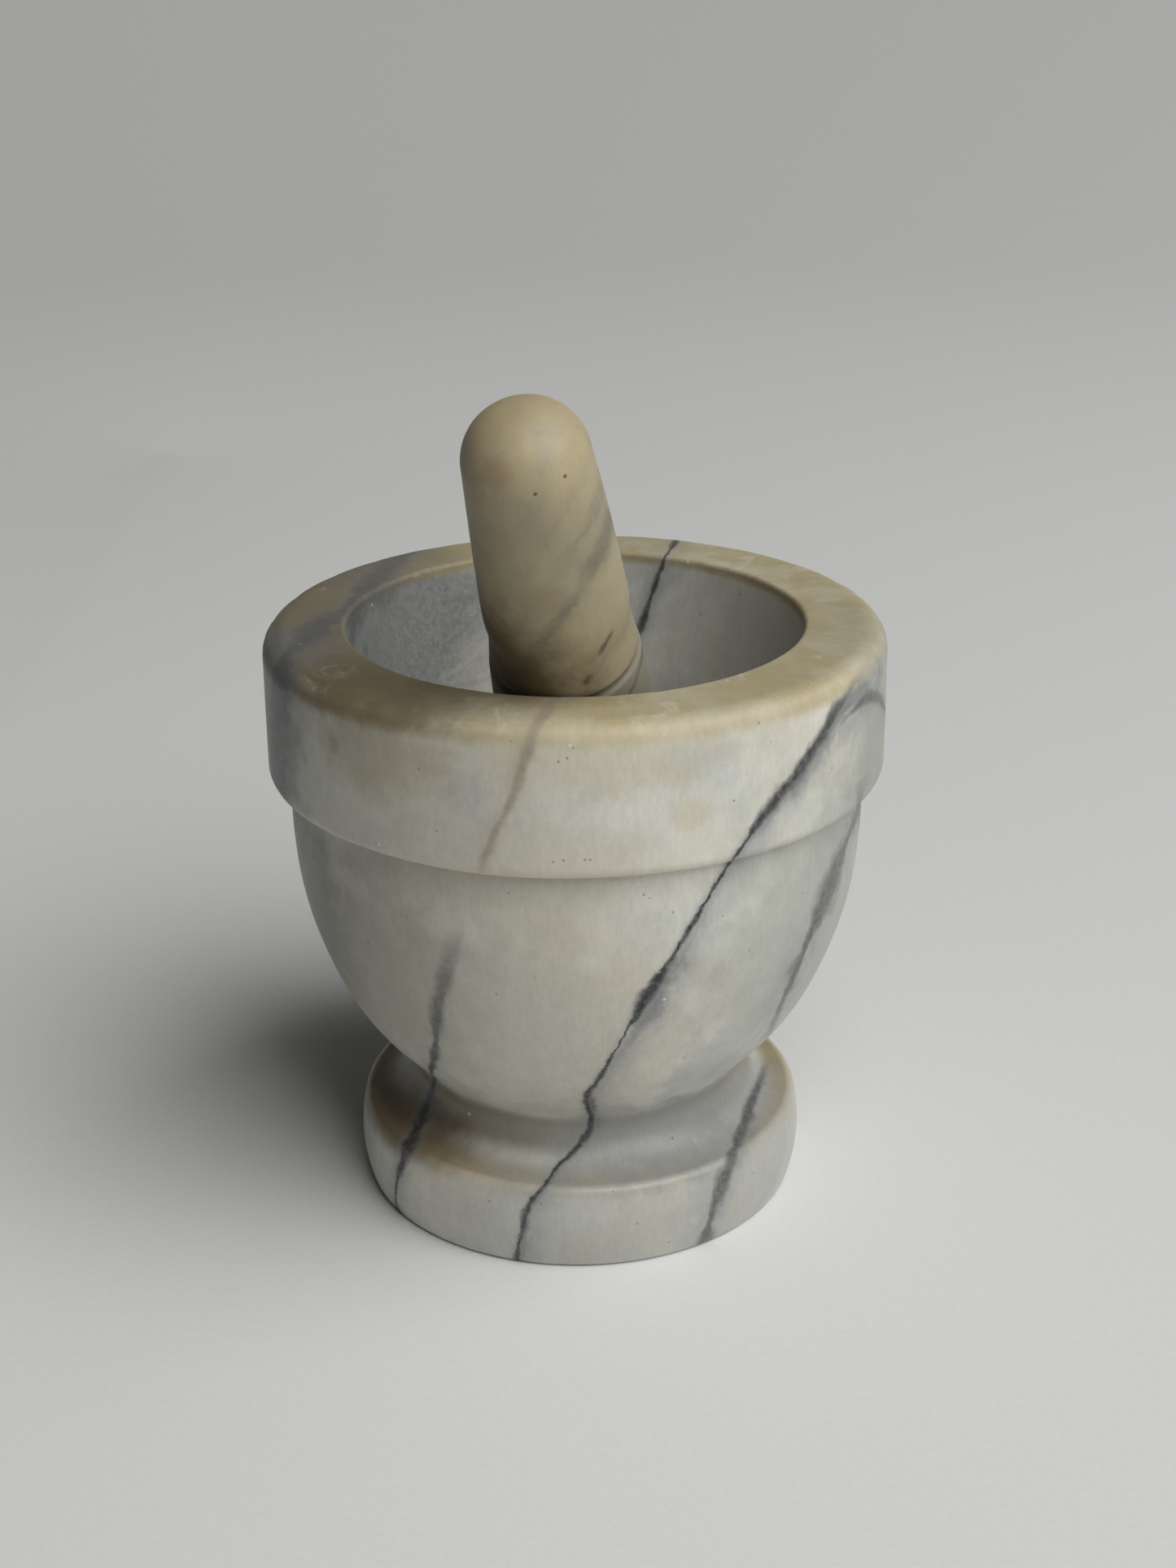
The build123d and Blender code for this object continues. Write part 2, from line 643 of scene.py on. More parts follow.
class StoneGroups:
    """The effects that both marbles share, each a node group built once.

    A noise's numbers are its scale in cells per metre, its octaves, how strong the finer octaves
    are, and its distortion. A step's are where it starts and ends, and its heights there.
    """

    def __init__(self) -> None:
        """Builds every group."""
        self.cloud = self.make_cloud()
        self.vein = self.make_vein()
        self.grain = self.make_grain()
        self.specks = self.make_specks()
        self.patch = self.make_patch()
        self.edge = self.make_edge()

    @staticmethod
    def make_cloud() -> bpy.types.NodeTree:
        """Slow drift between three body colours, with finer mottling.

        Returns:
            The group.
        """
        bench, takes, gives = new_group(
            "stone_cloud", {"Place": VECTOR, "Pale": COLOUR, "Warm": COLOUR, "Cool": COLOUR},
            {"Color": COLOUR})
        drift = bench.noise(takes["Place"], 26.0, 3.0, 0.55, 0.4)
        elsewhere = bench.move("ADD", takes["Place"], (0.31, 0.17, 0.05))
        cool = bench.noise(elsewhere, 34.0, 4.0, 0.6, 0.6)
        colour = bench.tint(bench.step(drift, 0.42, 0.68), takes["Pale"], takes["Warm"])
        colour = bench.tint(bench.step(cool, 0.46, 0.74), colour, takes["Cool"])
        mottle = bench.step(bench.noise(takes["Place"], 240.0, 4.0, 0.65), 0.3, 0.72, 0.96, 1.03)
        bench.plug(gives["Color"], bench.dimmed(colour, mottle))
        return bench.tree

    @staticmethod
    def make_vein() -> bpy.types.NodeTree:
        """A ragged dark strand that may split in two with grey stone between, and its haze.

        Across is the distance from the sheet. It is pushed about by a slow wander and a fine
        stitch. The strand is dark where that distance is small. A second strand parts from it by a
        gap that comes and goes along the sheet. Haze fades away over its own reach on the side
        where Across is above nought, and over Bleed times that on the other.

        Returns:
            The group.
        """
        bench, takes, gives = new_group(
            "vein_sheet",
            {"Place": VECTOR, "Across": FLOAT, "Width": FLOAT, "Split": FLOAT, "Haze": FLOAT,
             "Bleed": FLOAT, "Wander": FLOAT, "Strength": FLOAT, "Swell": FLOAT},
            {"Strand": FLOAT, "Fill": FLOAT, "Haze": FLOAT})
        place, width = takes["Place"], bench.product(takes["Width"], takes["Swell"])
        slow = bench.ripple(place, 55.0, 2.0)
        stitch = bench.ripple(place, 480.0, 5.0, 0.78)
        gap = bench.sum("MULTIPLY_ADD", slow, takes["Wander"], takes["Across"])
        gap = bench.sum("MULTIPLY_ADD", stitch, bench.product(takes["Wander"], 0.95), gap)
        swell = bench.step(bench.noise(place, 90.0, 3.0, 0.6), 0.32, 0.7, 0.35, 1.5)
        reach = bench.product(width, swell)
        near = bench.sum("ABSOLUTE", gap)
        strand = bench.step(near, bench.product(reach, 0.15), reach, 1.0, 0.0)
        parting = bench.step(bench.noise(place, 48.0, 1.0), 0.40, 0.70)
        parted = bench.product(parting, takes["Split"], bench.step(takes["Swell"], 0.6, 2.0))
        second = bench.sum("ABSOLUTE", bench.sum("SUBTRACT", gap, parted))
        faint = bench.step(bench.noise(place, 160.0, 2.0), 0.4, 0.62, 0.1, 0.7)
        strand_b = bench.product(bench.step(second, 0.0, reach, 1.0, 0.0), faint)
        shown = bench.step(parted, bench.product(width, 0.4), bench.product(width, 1.2))
        strands = bench.sum("MAXIMUM", strand, bench.product(strand_b, shown))
        crumb = bench.step(bench.noise(place, 900.0, 3.0, 0.7), 0.3, 0.62, 0.72, 1.0)
        bench.plug(gives["Strand"], bench.product(strands, crumb, takes["Strength"]))
        past = bench.step(gap, bench.product(width, -0.3), bench.product(width, 0.3))
        margin = bench.product(width, 0.9)
        before = bench.step(gap, bench.sum("ADD", parted, margin),
                            bench.sum("SUBTRACT", parted, margin))
        bench.plug(gives["Fill"], bench.product(past, before, shown, takes["Strength"]))
        fade = bench.step(gap, 0.0, takes["Haze"], 1.0, 0.0)
        bleed = bench.step(gap, bench.product(takes["Haze"], takes["Bleed"], -1.0), 0.0)
        wisps = bench.step(bench.noise(place, 130.0, 5.0, 0.65, 0.8), 0.30, 0.66, 0.35, 1.0)
        bench.plug(gives["Haze"], bench.product(fade, fade, bleed, wisps, takes["Strength"]))
        return bench.tree

    @staticmethod
    def make_grain() -> bpy.types.NodeTree:
        """Fine streaks along the outline and crystal grain.

        The streaks read a place on a drum of fixed radius, squashed along the outline, so they
        run up the sides, across the rim and down the hollow without a seam.

        Returns:
            The group.
        """
        bench, takes, gives = new_group(
            "stone_grain", {"Place": VECTOR, "Along": FLOAT, "Drum": FLOAT},
            {"Streak": FLOAT, "Grain": FLOAT, "Height": FLOAT})
        x, y, _ = bench.parts(takes["Place"])
        around = bench.move("NORMALIZE", bench.vector(x, y, 0.0))
        drum = bench.move("SCALE", around, takes["Drum"])
        squashed = bench.product(takes["Along"], 0.30)
        place = bench.move("ADD", drum, bench.vector(0.0, 0.0, squashed))
        fine = bench.noise(place, 1500.0, 2.0, 0.5)
        broad = bench.noise(place, 480.0, 3.0, 0.6)
        streak = bench.sum("ADD", bench.product(fine, 0.6), bench.product(broad, 0.4))
        bench.plug(gives["Streak"], bench.step(streak, 0.33, 0.67))
        crystal = bench.lay("ShaderNodeTexVoronoi", feature="F1")
        bench.plug(crystal.inputs["Vector"], takes["Place"])
        crystal.inputs["Scale"].default_value = 1500.0
        facet = bench.parts(crystal.outputs["Color"])[0]
        grain = bench.sum("ADD", bench.product(facet, 0.5),
                          bench.product(bench.noise(takes["Place"], 1300.0, 3.0, 0.6), 0.5))
        bench.plug(gives["Grain"], grain)
        bench.plug(gives["Height"],
                   bench.sum("ADD", bench.product(streak, 0.55), bench.product(grain, 0.45)))
        return bench.tree

    @staticmethod
    def make_specks() -> bpy.types.NodeTree:
        """Tiny scattered marks: round cells of which only a few are filled.

        Returns:
            The group.
        """
        bench, takes, gives = new_group(
            "stone_specks", {"Place": VECTOR, "Scale": FLOAT, "Size": FLOAT, "Share": FLOAT},
            {"Mask": FLOAT})
        cells = bench.lay("ShaderNodeTexVoronoi", feature="F1")
        bench.plug(cells.inputs["Vector"], takes["Place"])
        bench.plug(cells.inputs["Scale"], takes["Scale"])
        chosen = bench.sum("LESS_THAN", bench.parts(cells.outputs["Color"])[1], takes["Share"])
        dot = bench.step(cells.outputs["Distance"], bench.product(takes["Size"], 0.4),
                         takes["Size"], 1.0, 0.0)
        bench.plug(gives["Mask"], bench.product(chosen, dot))
        return bench.tree

    @staticmethod
    def make_patch() -> bpy.types.NodeTree:
        """A soft patch about one place, with a ragged edge, for stains, vein ends and painted
        shade.

        Returns:
            The group.
        """
        bench, takes, gives = new_group(
            "stain_and_shade_patch", {"Place": VECTOR, "Centre": VECTOR, "Stretch": VECTOR, "Radius": FLOAT,
                            "Ragged": FLOAT}, {"Mask": FLOAT})
        away = bench.move("MULTIPLY", bench.move("SUBTRACT", takes["Place"], takes["Centre"]),
                          takes["Stretch"])
        gap = bench.sum("DIVIDE", bench.move("LENGTH", away), takes["Radius"])
        rough = bench.ripple(takes["Place"], 170.0, 4.0, 0.65)
        gap = bench.sum("MULTIPLY_ADD", rough, takes["Ragged"], gap)
        bench.plug(gives["Mask"], bench.step(gap, 0.35, 1.0, 1.0, 0.0))
        return bench.tree

    @staticmethod
    def make_edge() -> bpy.types.NodeTree:
        """Breaks up a smooth band into a ragged one: stains, wear, dirt, and painted shade and
        highlights.

        Returns:
            The group.
        """
        bench, takes, gives = new_group(
            "broken_band", {"Place": VECTOR, "Band": FLOAT, "Scale": FLOAT, "Break": FLOAT},
            {"Mask": FLOAT})
        rough = bench.ripple(takes["Place"], takes["Scale"], 4.0, 0.65)
        mask = bench.sum("MULTIPLY_ADD", rough, takes["Break"], takes["Band"])
        bench.plug(gives["Mask"], bench.product(bench.step(mask, 0.08, 0.98),
                                                bench.step(takes["Band"], 0.0, 0.12)))
        return bench.tree


# ---------------------------------------------------------------------------------------------
# Finishes
# ---------------------------------------------------------------------------------------------

SHEET_RUN = 0.26  # sideways run of every vein sheet for each unit of depth
FILL_SHARE = 0.6  # how strongly the grey stone between two strands shows, next to the strands
FRONT_FADE = 8.0  # depth either side of the middle over which a front vein dies out, in mm
FRONT_RAGGED = 20.0  # how far that ending wanders, in mm
Stations = tuple[tuple[float, float], ...]
Triple = tuple[float, float, float]


def metres(numbers: Sequence[float]) -> tuple[float, ...]:
    """Numbers in mm as metres."""
    return tuple(float(number) * MM for number in numbers)


@dataclass
class Skin:
    """A stone's colour as it is built up, with what every mark laid on it needs.

    Attributes:
        bench: the material's bench.
        groups: the shared groups.
        place: where on the stone.
        colour: the colour so far.
    """

    bench: Bench
    groups: StoneGroups
    place: Socket
    colour: Socket

    def cover(self, share: Feed, over: Feed) -> None:
        """Lays a colour over the one so far by a share."""
        self.colour = self.bench.tint(share, self.colour, over)

    def dim(self, shade: Socket) -> None:
        """Multiplies the colour so far by one number."""
        self.colour = self.bench.dimmed(self.colour, shade)

    def noise(self, scale: float, detail: float, rough: float, bend: float = 0.0) -> Socket:
        """Noise from about 0 to 1 at this place; the values are those of the bench's noise."""
        return self.bench.noise(self.place, scale, detail, rough, bend)

    def broken(self, tint: str, scale: float, ragged: float) -> Socket:
        """One of the mesh's bands, broken up.

        Args:
            tint: the attribute that holds the band.
            scale: how fine the breaks are, per metre.
            ragged: how far they eat into the band.

        Returns:
            The mask.
        """
        return self.bench.use(self.groups.edge, Place=self.place, Band=self.bench.attribute(tint),
                              Scale=scale, Break=ragged)["Mask"]

    def specks(self, scale: float, size: float, share: float) -> Socket:
        """Scattered marks.

        Args:
            scale: cells per metre.
            size: a mark's radius next to its cell.
            share: share of the cells that hold a mark.

        Returns:
            The mask.
        """
        return self.bench.use(self.groups.specks, Place=self.place, Scale=scale, Size=size,
                              Share=share)["Mask"]

    def patch(self, centre: Triple, radius: float, stretch: Triple, ragged: float) -> Socket:
        """A soft patch about one place, for stains and painted shade.

        Args:
            centre: its middle, in mm.
            radius: how far it reaches, in mm.
            stretch: larger numbers make it narrower that way.
            ragged: how ragged its edge is.

        Returns:
            The mask.
        """
        return self.bench.use(self.groups.patch, Place=self.place, Centre=metres(centre),
                              Stretch=stretch, Radius=radius * MM, Ragged=ragged)["Mask"]


@dataclass(frozen=True)
class VeinLook:
    """How a vein is drawn, wherever its sheet lies.

    Attributes:
        width: half the strand's width, in mm.
        split: how far the strand may part in two, in mm.
        haze: how far its grey cloud reaches, in mm.
        bleed: share of the cloud that shows on the strand's other side.
        wander: how much the vein is pushed about, in mm.
        ink: the strand's colour.
        ink_share: how strongly the strand covers the stone.
        cloud: the haze's colour.
        cloud_share: how strongly the haze covers the stone.
    """

    width: float = 0.8
    split: float = 0.0
    haze: float = 6.0
    bleed: float = 0.2
    wander: float = 1.2
    ink: Colour = (0.020, 0.022, 0.026)
    ink_share: float = 0.9
    cloud: Colour = (0.30, 0.31, 0.325)
    cloud_share: float = 0.7

    def lay(self, skin: Skin, across: Socket, strength: Feed, swell: Feed) -> None:
        """Lays the vein on a skin: haze first, then grey stone, then the dark strands.

        Args:
            skin: the skin it goes on.
            across: distance from the sheet.
            strength: how strong the vein is there.
            swell: how many times its width it has there.
        """
        bench = skin.bench
        masks = bench.use(skin.groups.vein, Place=skin.place, Across=across, Width=self.width * MM,
                          Split=self.split * MM, Haze=self.haze * MM, Bleed=self.bleed,
                          Wander=self.wander * MM, Strength=strength, Swell=swell)
        half_cloud = tuple(0.5 * number for number in self.cloud)
        skin.cover(bench.product(masks["Haze"], self.cloud_share), self.cloud)
        skin.cover(bench.product(masks["Fill"], FILL_SHARE * self.ink_share), half_cloud)
        skin.cover(bench.product(masks["Strand"], self.ink_share), self.ink)


@dataclass(frozen=True)
class MortarPlace:
    """Where a point lies in the mortar, as its veins are measured.

    Attributes:
        x: sideways place.
        y: depth, larger towards the back.
        z: height.
        across: sideways place carried back to the middle plane along the vein sheets.
    """

    x: Socket
    y: Socket
    z: Socket
    across: Socket

    @classmethod
    def read(cls, bench: Bench, place: Socket) -> "MortarPlace":
        """Takes a place apart."""
        x, y, z = bench.parts(place)
        return cls(x, y, z, bench.sum("MULTIPLY_ADD", y, -SHEET_RUN, x))


@dataclass(frozen=True)
class VeinSheet:
    """One vein that runs through the mortar from front to back.

    Attributes:
        look: how it is drawn.
        line: (height, sideways place on the middle plane) stations, in mm.
        strength: (height, share) stations.
        swell: (height, times its width) stations.
        front: whether it dies out in the middle of the stone and so misses the back.
    """

    look: VeinLook
    line: Stations
    strength: Stations
    swell: Stations
    front: bool = False

    def gap(self, bench: Bench, at: MortarPlace) -> Socket:
        """Distance from the sheet, measured sideways."""
        line = bench.curve(at.z, [(h * MM, c * MM) for h, c in self.line])
        return bench.sum("SUBTRACT", at.across, line)

    def lay(self, skin: Skin, at: MortarPlace) -> None:
        """Lays the vein on a skin.

        Args:
            skin: the skin it goes on.
            at: where on the mortar.
        """
        bench = skin.bench
        strength = bench.curve(at.z, [(h * MM, share) for h, share in self.strength])
        if self.front:
            ragged = bench.ripple(skin.place, 120.0, 3.0, 0.6)
            depth = bench.sum("MULTIPLY_ADD", ragged, FRONT_RAGGED * MM, at.y)
            shown = bench.step(depth, FRONT_FADE * MM, -FRONT_FADE * MM)
            strength = bench.product(strength, shown)
        swell = bench.curve(at.z, [(h * MM, times) for h, times in self.swell])
        self.look.lay(skin, self.gap(bench, at), strength, swell)


@dataclass(frozen=True)
class MarbleShader:
    """What the marble is like all through, set on the shader's own sockets.

    Attributes:
        translucency: subsurface weight.
        depth: subsurface radii for red, green and blue, in mm.
        ior: index of refraction.
        relief: bump distance, in mm.
        relief_share: bump strength.
    """

    translucency: float = 0.45
    depth: Colour = (3.4, 2.6, 1.8)
    ior: float = 1.49
    relief: float = 0.12
    relief_share: float = 0.5

    def finish(self, bench: Bench, colour: Socket, roughness: Socket, height: Socket) -> None:
        """Joins a colour, a roughness and a bump height to a Principled shader.

        Args:
            bench: the material's bench.
            colour: base colour.
            roughness: roughness.
            height: bump height.
        """
        shader = bench.lay("ShaderNodeBsdfPrincipled")
        out = bench.lay("ShaderNodeOutputMaterial")
        bump = bench.lay("ShaderNodeBump")
        bump.inputs["Strength"].default_value = self.relief_share
        bump.inputs["Distance"].default_value = self.relief * MM
        bench.plug(bump.inputs["Height"], height)
        bench.plug(shader.inputs["Normal"], bump.outputs[0])
        bench.plug(shader.inputs["Base Color"], colour)
        bench.plug(shader.inputs["Roughness"], roughness)
        shader.inputs["IOR"].default_value = self.ior
        shader.inputs["Subsurface Weight"].default_value = self.translucency
        shader.inputs["Subsurface Radius"].default_value = self.depth
        shader.inputs["Subsurface Scale"].default_value = MM
        bench.plug(out.inputs["Surface"], shader.outputs[0])


def fresh_material(name: str) -> tuple[bpy.types.Material, Bench, Socket]:
    """Starts an empty material.

    Args:
        name: the material's name.

    Returns:
        The material, a bench on it, and its object coordinates.
    """
    material = bpy.data.materials.new(name)
    material.use_nodes = True
    material.node_tree.nodes.clear()
    bench = Bench(material.node_tree)
    return material, bench, bench.lay("ShaderNodeTexCoord").outputs["Object"]


@dataclass(frozen=True)
class Spot:
    """A soft patch of colour at one place on a stone, used for stains and for painted shade.

    Attributes:
        centre: its middle, in mm.
        radius: how far it reaches, in mm.
        colour: its colour.
        share: how strong it is.
        stretch: larger numbers make it narrower that way.
        ragged: how ragged its edge is.
    """

    centre: Triple
    radius: float
    colour: Colour
    share: float
    stretch: Triple = (1.0, 1.0, 1.0)
    ragged: float = 1.2

    def lay(self, skin: Skin) -> None:
        """Lays the spot on a skin."""
        mask = skin.patch(self.centre, self.radius, self.stretch, self.ragged)
        skin.cover(skin.bench.product(mask, self.share), self.colour)


@dataclass(frozen=True)
class MortarMarble:
    """Pale warm marble with blue-black vein sheets, ochre where hands and spice have rubbed it.

    A spot's numbers are its middle and radius in mm, its colour and share, how it is squeezed
    along x, y and z, and how ragged its edge is.
    """

    pale: Colour = (0.64, 0.635, 0.575)
    warm: Colour = (0.575, 0.545, 0.47)
    cool: Colour = (0.46, 0.475, 0.45)
    ochre: Colour = (0.365, 0.305, 0.165)
    soot: Colour = (0.15, 0.135, 0.11)
    umber: Colour = (0.145, 0.12, 0.07)
    chalk: Colour = (0.62, 0.58, 0.49)
    honey: Colour = (0.33, 0.26, 0.145)
    grime_and_shade: Colour = (0.20, 0.165, 0.105)
    slate: Colour = (0.19, 0.198, 0.20)
    wear_and_highlight: Colour = (0.66, 0.61, 0.48)
    crumb: Colour = (0.16, 0.14, 0.11)
    glint: Colour = (0.95, 0.93, 0.88)
    drum: float = 45.0
    darkest: float = 0.93
    streak_shade: float = 0.08
    grain_shade: float = 0.06
    roughness: float = 0.30
    grain_roughness: float = 0.14
    ground_roughness: float = 0.16
    speck_roughness: float = 0.2
    rim_roughness: float = 0.22
    speck_depth: float = 1.2
    slate_middle: Triple = (-36.0, 20.0, 88.0)
    slate_reach: tuple[float, float] = (18.0, 40.0)
    slate_ragged: float = 40.0
    shader: MarbleShader = MarbleShader()
    main_smear: VeinSheet = VeinSheet(
        VeinLook(width=2.8, haze=9.0, bleed=0.25, wander=2.4, ink=(0.075, 0.078, 0.082),
                 ink_share=0.75, cloud=(0.22, 0.228, 0.232), cloud_share=0.7),
        line=((0.0, -1.2), (7.4, 0.4), (12.0, 1.8), (15.2, 4.2), (18.8, 8.1), (30.0, 11.0),
              (37.0, 14.4), (49.0, 21.3), (55.0, 24.0), (60.0, 26.5), (70.0, 31.9),
              (76.0, 35.3), (81.5, 39.2), (86.0, 42.8), (95.7, 48.9), (98.5, 50.4)),
        strength=((0.0, 0.5), (12.0, 0.7), (18.0, 0.35), (30.0, 0.3), (42.0, 0.45),
                  (52.0, 0.85), (58.0, 0.7), (64.0, 0.3), (76.0, 0.45), (84.0, 0.95),
                  (93.0, 0.95), (95.5, 0.5), (97.0, 0.0), (98.5, 0.0)),
        swell=((0.0, 0.5), (40.0, 0.6), (54.0, 1.0), (62.0, 0.6), (80.0, 0.7), (90.0, 1.1),
               (98.5, 0.8)))
    main_vein: VeinSheet = VeinSheet(
        VeinLook(width=0.8, split=3.6, haze=8.0, wander=1.5, cloud_share=0.6),
        line=((0.0, -1.8), (7.4, -0.2), (12.0, 1.2), (15.2, 3.8), (17.0, 6.1), (18.8, 7.8),
              (21.0, 8.9), (30.0, 10.3), (37.0, 13.7), (49.0, 19.7), (60.0, 25.6), (70.0, 31.4),
              (76.0, 34.9), (81.5, 38.4), (86.0, 42.0), (95.7, 48.1), (98.5, 50.0)),
        strength=((0.0, 1.0), (92.0, 1.0), (95.0, 0.7), (97.0, 0.15), (98.5, 0.0)),
        swell=((0.0, 1.0), (5.0, 1.2), (10.0, 1.9), (15.0, 1.2), (24.0, 1.2), (40.0, 0.75),
               (50.0, 0.95), (56.0, 2.3), (60.0, 1.3), (72.0, 0.9), (78.0, 1.1), (84.0, 2.2),
               (90.0, 2.6), (94.0, 2.2), (98.5, 1.5)))
    left_vein: VeinSheet = VeinSheet(
        VeinLook(width=0.8, split=1.2, haze=5.0, bleed=0.6, wander=1.2, cloud_share=0.65),
        line=((0.0, -26.0), (8.0, -24.7), (12.0, -23.2), (16.0, -22.2), (20.0, -21.4),
              (38.0, -14.1), (50.0, -11.2), (60.0, -8.0), (73.0, -2.4), (81.0, 0.4),
              (86.0, 2.9), (92.0, 5.0), (98.5, 6.9)),
        strength=((0.0, 1.0), (30.0, 1.0), (38.0, 0.95), (48.0, 0.75), (58.0, 0.45),
                  (63.0, 0.15), (66.0, 0.0), (98.5, 0.0)),
        swell=((0.0, 1.7), (8.0, 1.7), (14.0, 2.4), (20.0, 3.0), (26.0, 1.7), (38.0, 1.7),
               (52.0, 2.1), (62.0, 2.2), (98.5, 1.0)))
    right_vein: VeinSheet = VeinSheet(
        VeinLook(width=1.0, split=1.5, haze=6.0, bleed=1.0, wander=1.2,
                 ink=(0.055, 0.055, 0.053), cloud_share=0.8),
        line=((0.0, 27.8), (10.0, 30.5), (15.0, 32.0), (20.0, 33.0), (37.0, 37.4), (47.5, 41.1),
              (56.0, 44.0), (68.5, 47.9), (76.0, 50.0)),
        strength=((0.0, 0.9), (20.0, 0.9), (28.0, 0.35), (37.0, 0.55), (46.0, 0.95),
                  (66.0, 0.85), (76.0, 0.5), (80.0, 0.0)),
        swell=((0.0, 1.5), (8.0, 1.6), (16.0, 1.9), (24.0, 1.7), (40.0, 1.4), (56.0, 1.8),
               (64.0, 1.7), (80.0, 1.0)),
        front=True)
    far_cloud: VeinSheet = VeinSheet(
        VeinLook(width=2.6, haze=12.0, bleed=1.0, wander=5.0, ink=(0.07, 0.074, 0.078),
                 ink_share=0.8, cloud=(0.17, 0.175, 0.175), cloud_share=0.9),
        line=((0.0, -72.0), (60.0, -47.5), (76.0, -44.0), (98.5, -39.5)),
        strength=((0.0, 0.0), (40.0, 0.5), (60.0, 0.8), (74.0, 1.0), (90.0, 1.0), (98.5, 0.7)),
        swell=((0.0, 1.0), (80.0, 2.0), (98.5, 1.6)))
    back_look: VeinLook = VeinLook(width=1.1, split=1.6, haze=4.0, bleed=0.8, wander=1.2,
                                   ink=(0.035, 0.036, 0.036))
    brown_look: VeinLook = VeinLook(width=0.9, haze=3.5, bleed=1.0, wander=0.9,
                                    ink=(0.22, 0.18, 0.13), ink_share=0.5,
                                    cloud=(0.42, 0.37, 0.29), cloud_share=0.6)
    branch_look: VeinLook = VeinLook(width=1.2, haze=9.0, bleed=0.4, wander=1.1,
                                     ink=(0.06, 0.062, 0.066), ink_share=0.8,
                                     cloud=(0.22, 0.225, 0.225), cloud_share=0.75)
    spots: tuple[Spot, ...] = (
        Spot((16.6, -47.2, 84.0), 3.4, (0.48, 0.42, 0.26), 0.4, (0.8, 1.0, 0.9)),
        Spot((-35.9, -34.8, 90.5), 1.5, (0.22, 0.15, 0.09), 0.45, (1.0, 1.0, 0.8)),
        Spot((49.0, -10.0, 83.0), 22.0, (0.27, 0.285, 0.255), 0.75, (1.0, 0.7, 1.0), 0.6),
        Spot((40.0, -24.0, 54.0), 38.0, (0.30, 0.31, 0.275), 0.62, (1.0, 0.9, 0.9), 0.6),
        Spot((30.0, -20.0, 8.0), 24.0, (0.31, 0.32, 0.31), 0.6, (1.0, 0.8, 1.0), 0.6),
        Spot((0.0, -36.0, 6.0), 26.0, (0.33, 0.34, 0.325), 0.55, (0.8, 1.0, 1.0), 0.8),
        Spot((-32.0, -28.0, 50.0), 26.0, (0.31, 0.27, 0.19), 0.5, (1.0, 0.8, 0.9), 0.8),
        Spot((-12.0, -40.0, 45.0), 30.0, (0.44, 0.40, 0.33), 0.45, (0.8, 1.0, 1.0)),
        Spot((4.0, -49.0, 93.5), 13.0, (0.50, 0.43, 0.28), 0.4, (0.5, 1.0, 1.6)),
        Spot((-30.0, -40.0, 92.0), 14.0, (0.36, 0.30, 0.19), 0.5, (0.7, 0.7, 1.3)),
        Spot((20.0, -32.0, 34.0), 11.0, (0.36, 0.37, 0.36), 0.5, (1.3, 0.8, 0.8)),
        # Painted shade: grey darkening in the front right of the waist under the bowl.
        Spot((15.0, -28.0, 19.0), 18.0, (0.26, 0.27, 0.27), 0.8, (0.8, 0.8, 2.2)),
        # Dark brown stain with painted shade in the left of the waist, above the foot.
        Spot((-29.0, -14.0, 16.0), 19.0, (0.15, 0.11, 0.055), 0.85, (1.0, 0.7, 3.6), 0.6),
        # Brown stain with painted shadow on the front-left rim, where the pestle's shadow falls.
        Spot((-30.0, -37.0, 98.5), 15.0, (0.13, 0.10, 0.05), 0.6, (0.7, 0.7, 3.0), 0.7),
        # Painted shade: these two darken the left of the collar and of the bowl, the side away
        # from the lamp.
        Spot((-48.0, -13.0, 87.0), 18.0, (0.13, 0.135, 0.13), 0.65, (1.0, 0.9, 0.7), 0.9),
        Spot((-43.0, -14.0, 60.0), 20.0, (0.17, 0.17, 0.155), 0.6, (1.0, 0.9, 0.7), 0.8),
        # Painted contact shade: dark brown at the front rim where the pestle rests on it.
        Spot((-3.0, -36.0, 98.5), 9.0, (0.18, 0.135, 0.07), 0.55, (0.6, 1.0, 1.0), 0.8),
    )

    def make(self, groups: StoneGroups) -> bpy.types.Material:
        """Builds the material.

        Args:
            groups: the shared groups.

        Returns:
            The finished material.
        """
        material, bench, place = fresh_material(Stone.MORTAR.slot)
        at = MortarPlace.read(bench, place)
        grain = bench.use(groups.grain, Place=place, Along=bench.attribute("along"),
                          Drum=self.drum * MM)
        cloud = bench.use(groups.cloud, Place=place, Pale=self.pale, Warm=self.warm,
                          Cool=self.cool)
        skin = Skin(bench, groups, place, cloud["Color"])
        self.slate_cloud(skin, grain["Grain"])
        self.handling_marks_and_painted_light(skin, at)
        for spot in self.spots:
            spot.lay(skin)
        for vein in (self.main_smear, self.main_vein, self.left_vein, self.right_vein,
                     self.far_cloud):
            vein.lay(skin, at)
        self.through_vein(skin, at)
        self.shoulder_vein(skin, at)
        shade = bench.sum("MULTIPLY_ADD", grain["Streak"], self.streak_shade, self.darkest)
        skin.dim(bench.sum("MULTIPLY_ADD", grain["Grain"], self.grain_shade, shade))
        specks = skin.specks(scale=900.0, size=0.26, share=0.022)
        skin.cover(bench.product(specks, 0.55), self.crumb)
        glints = skin.specks(scale=420.0, size=0.16, share=0.02)
        skin.cover(bench.product(glints, 0.5), self.glint)
        rough = self.roughness
        for mask, more in ((grain["Grain"], self.grain_roughness),
                           (bench.attribute("ground"), self.ground_roughness),
                           (specks, self.speck_roughness),
                           (bench.attribute("rim_stain"), self.rim_roughness)):
            rough = bench.sum("MULTIPLY_ADD", mask, more, rough)
        height = bench.sum("SUBTRACT", grain["Height"], bench.product(specks, self.speck_depth))
        self.shader.finish(bench, skin.colour, rough, height)
        return material

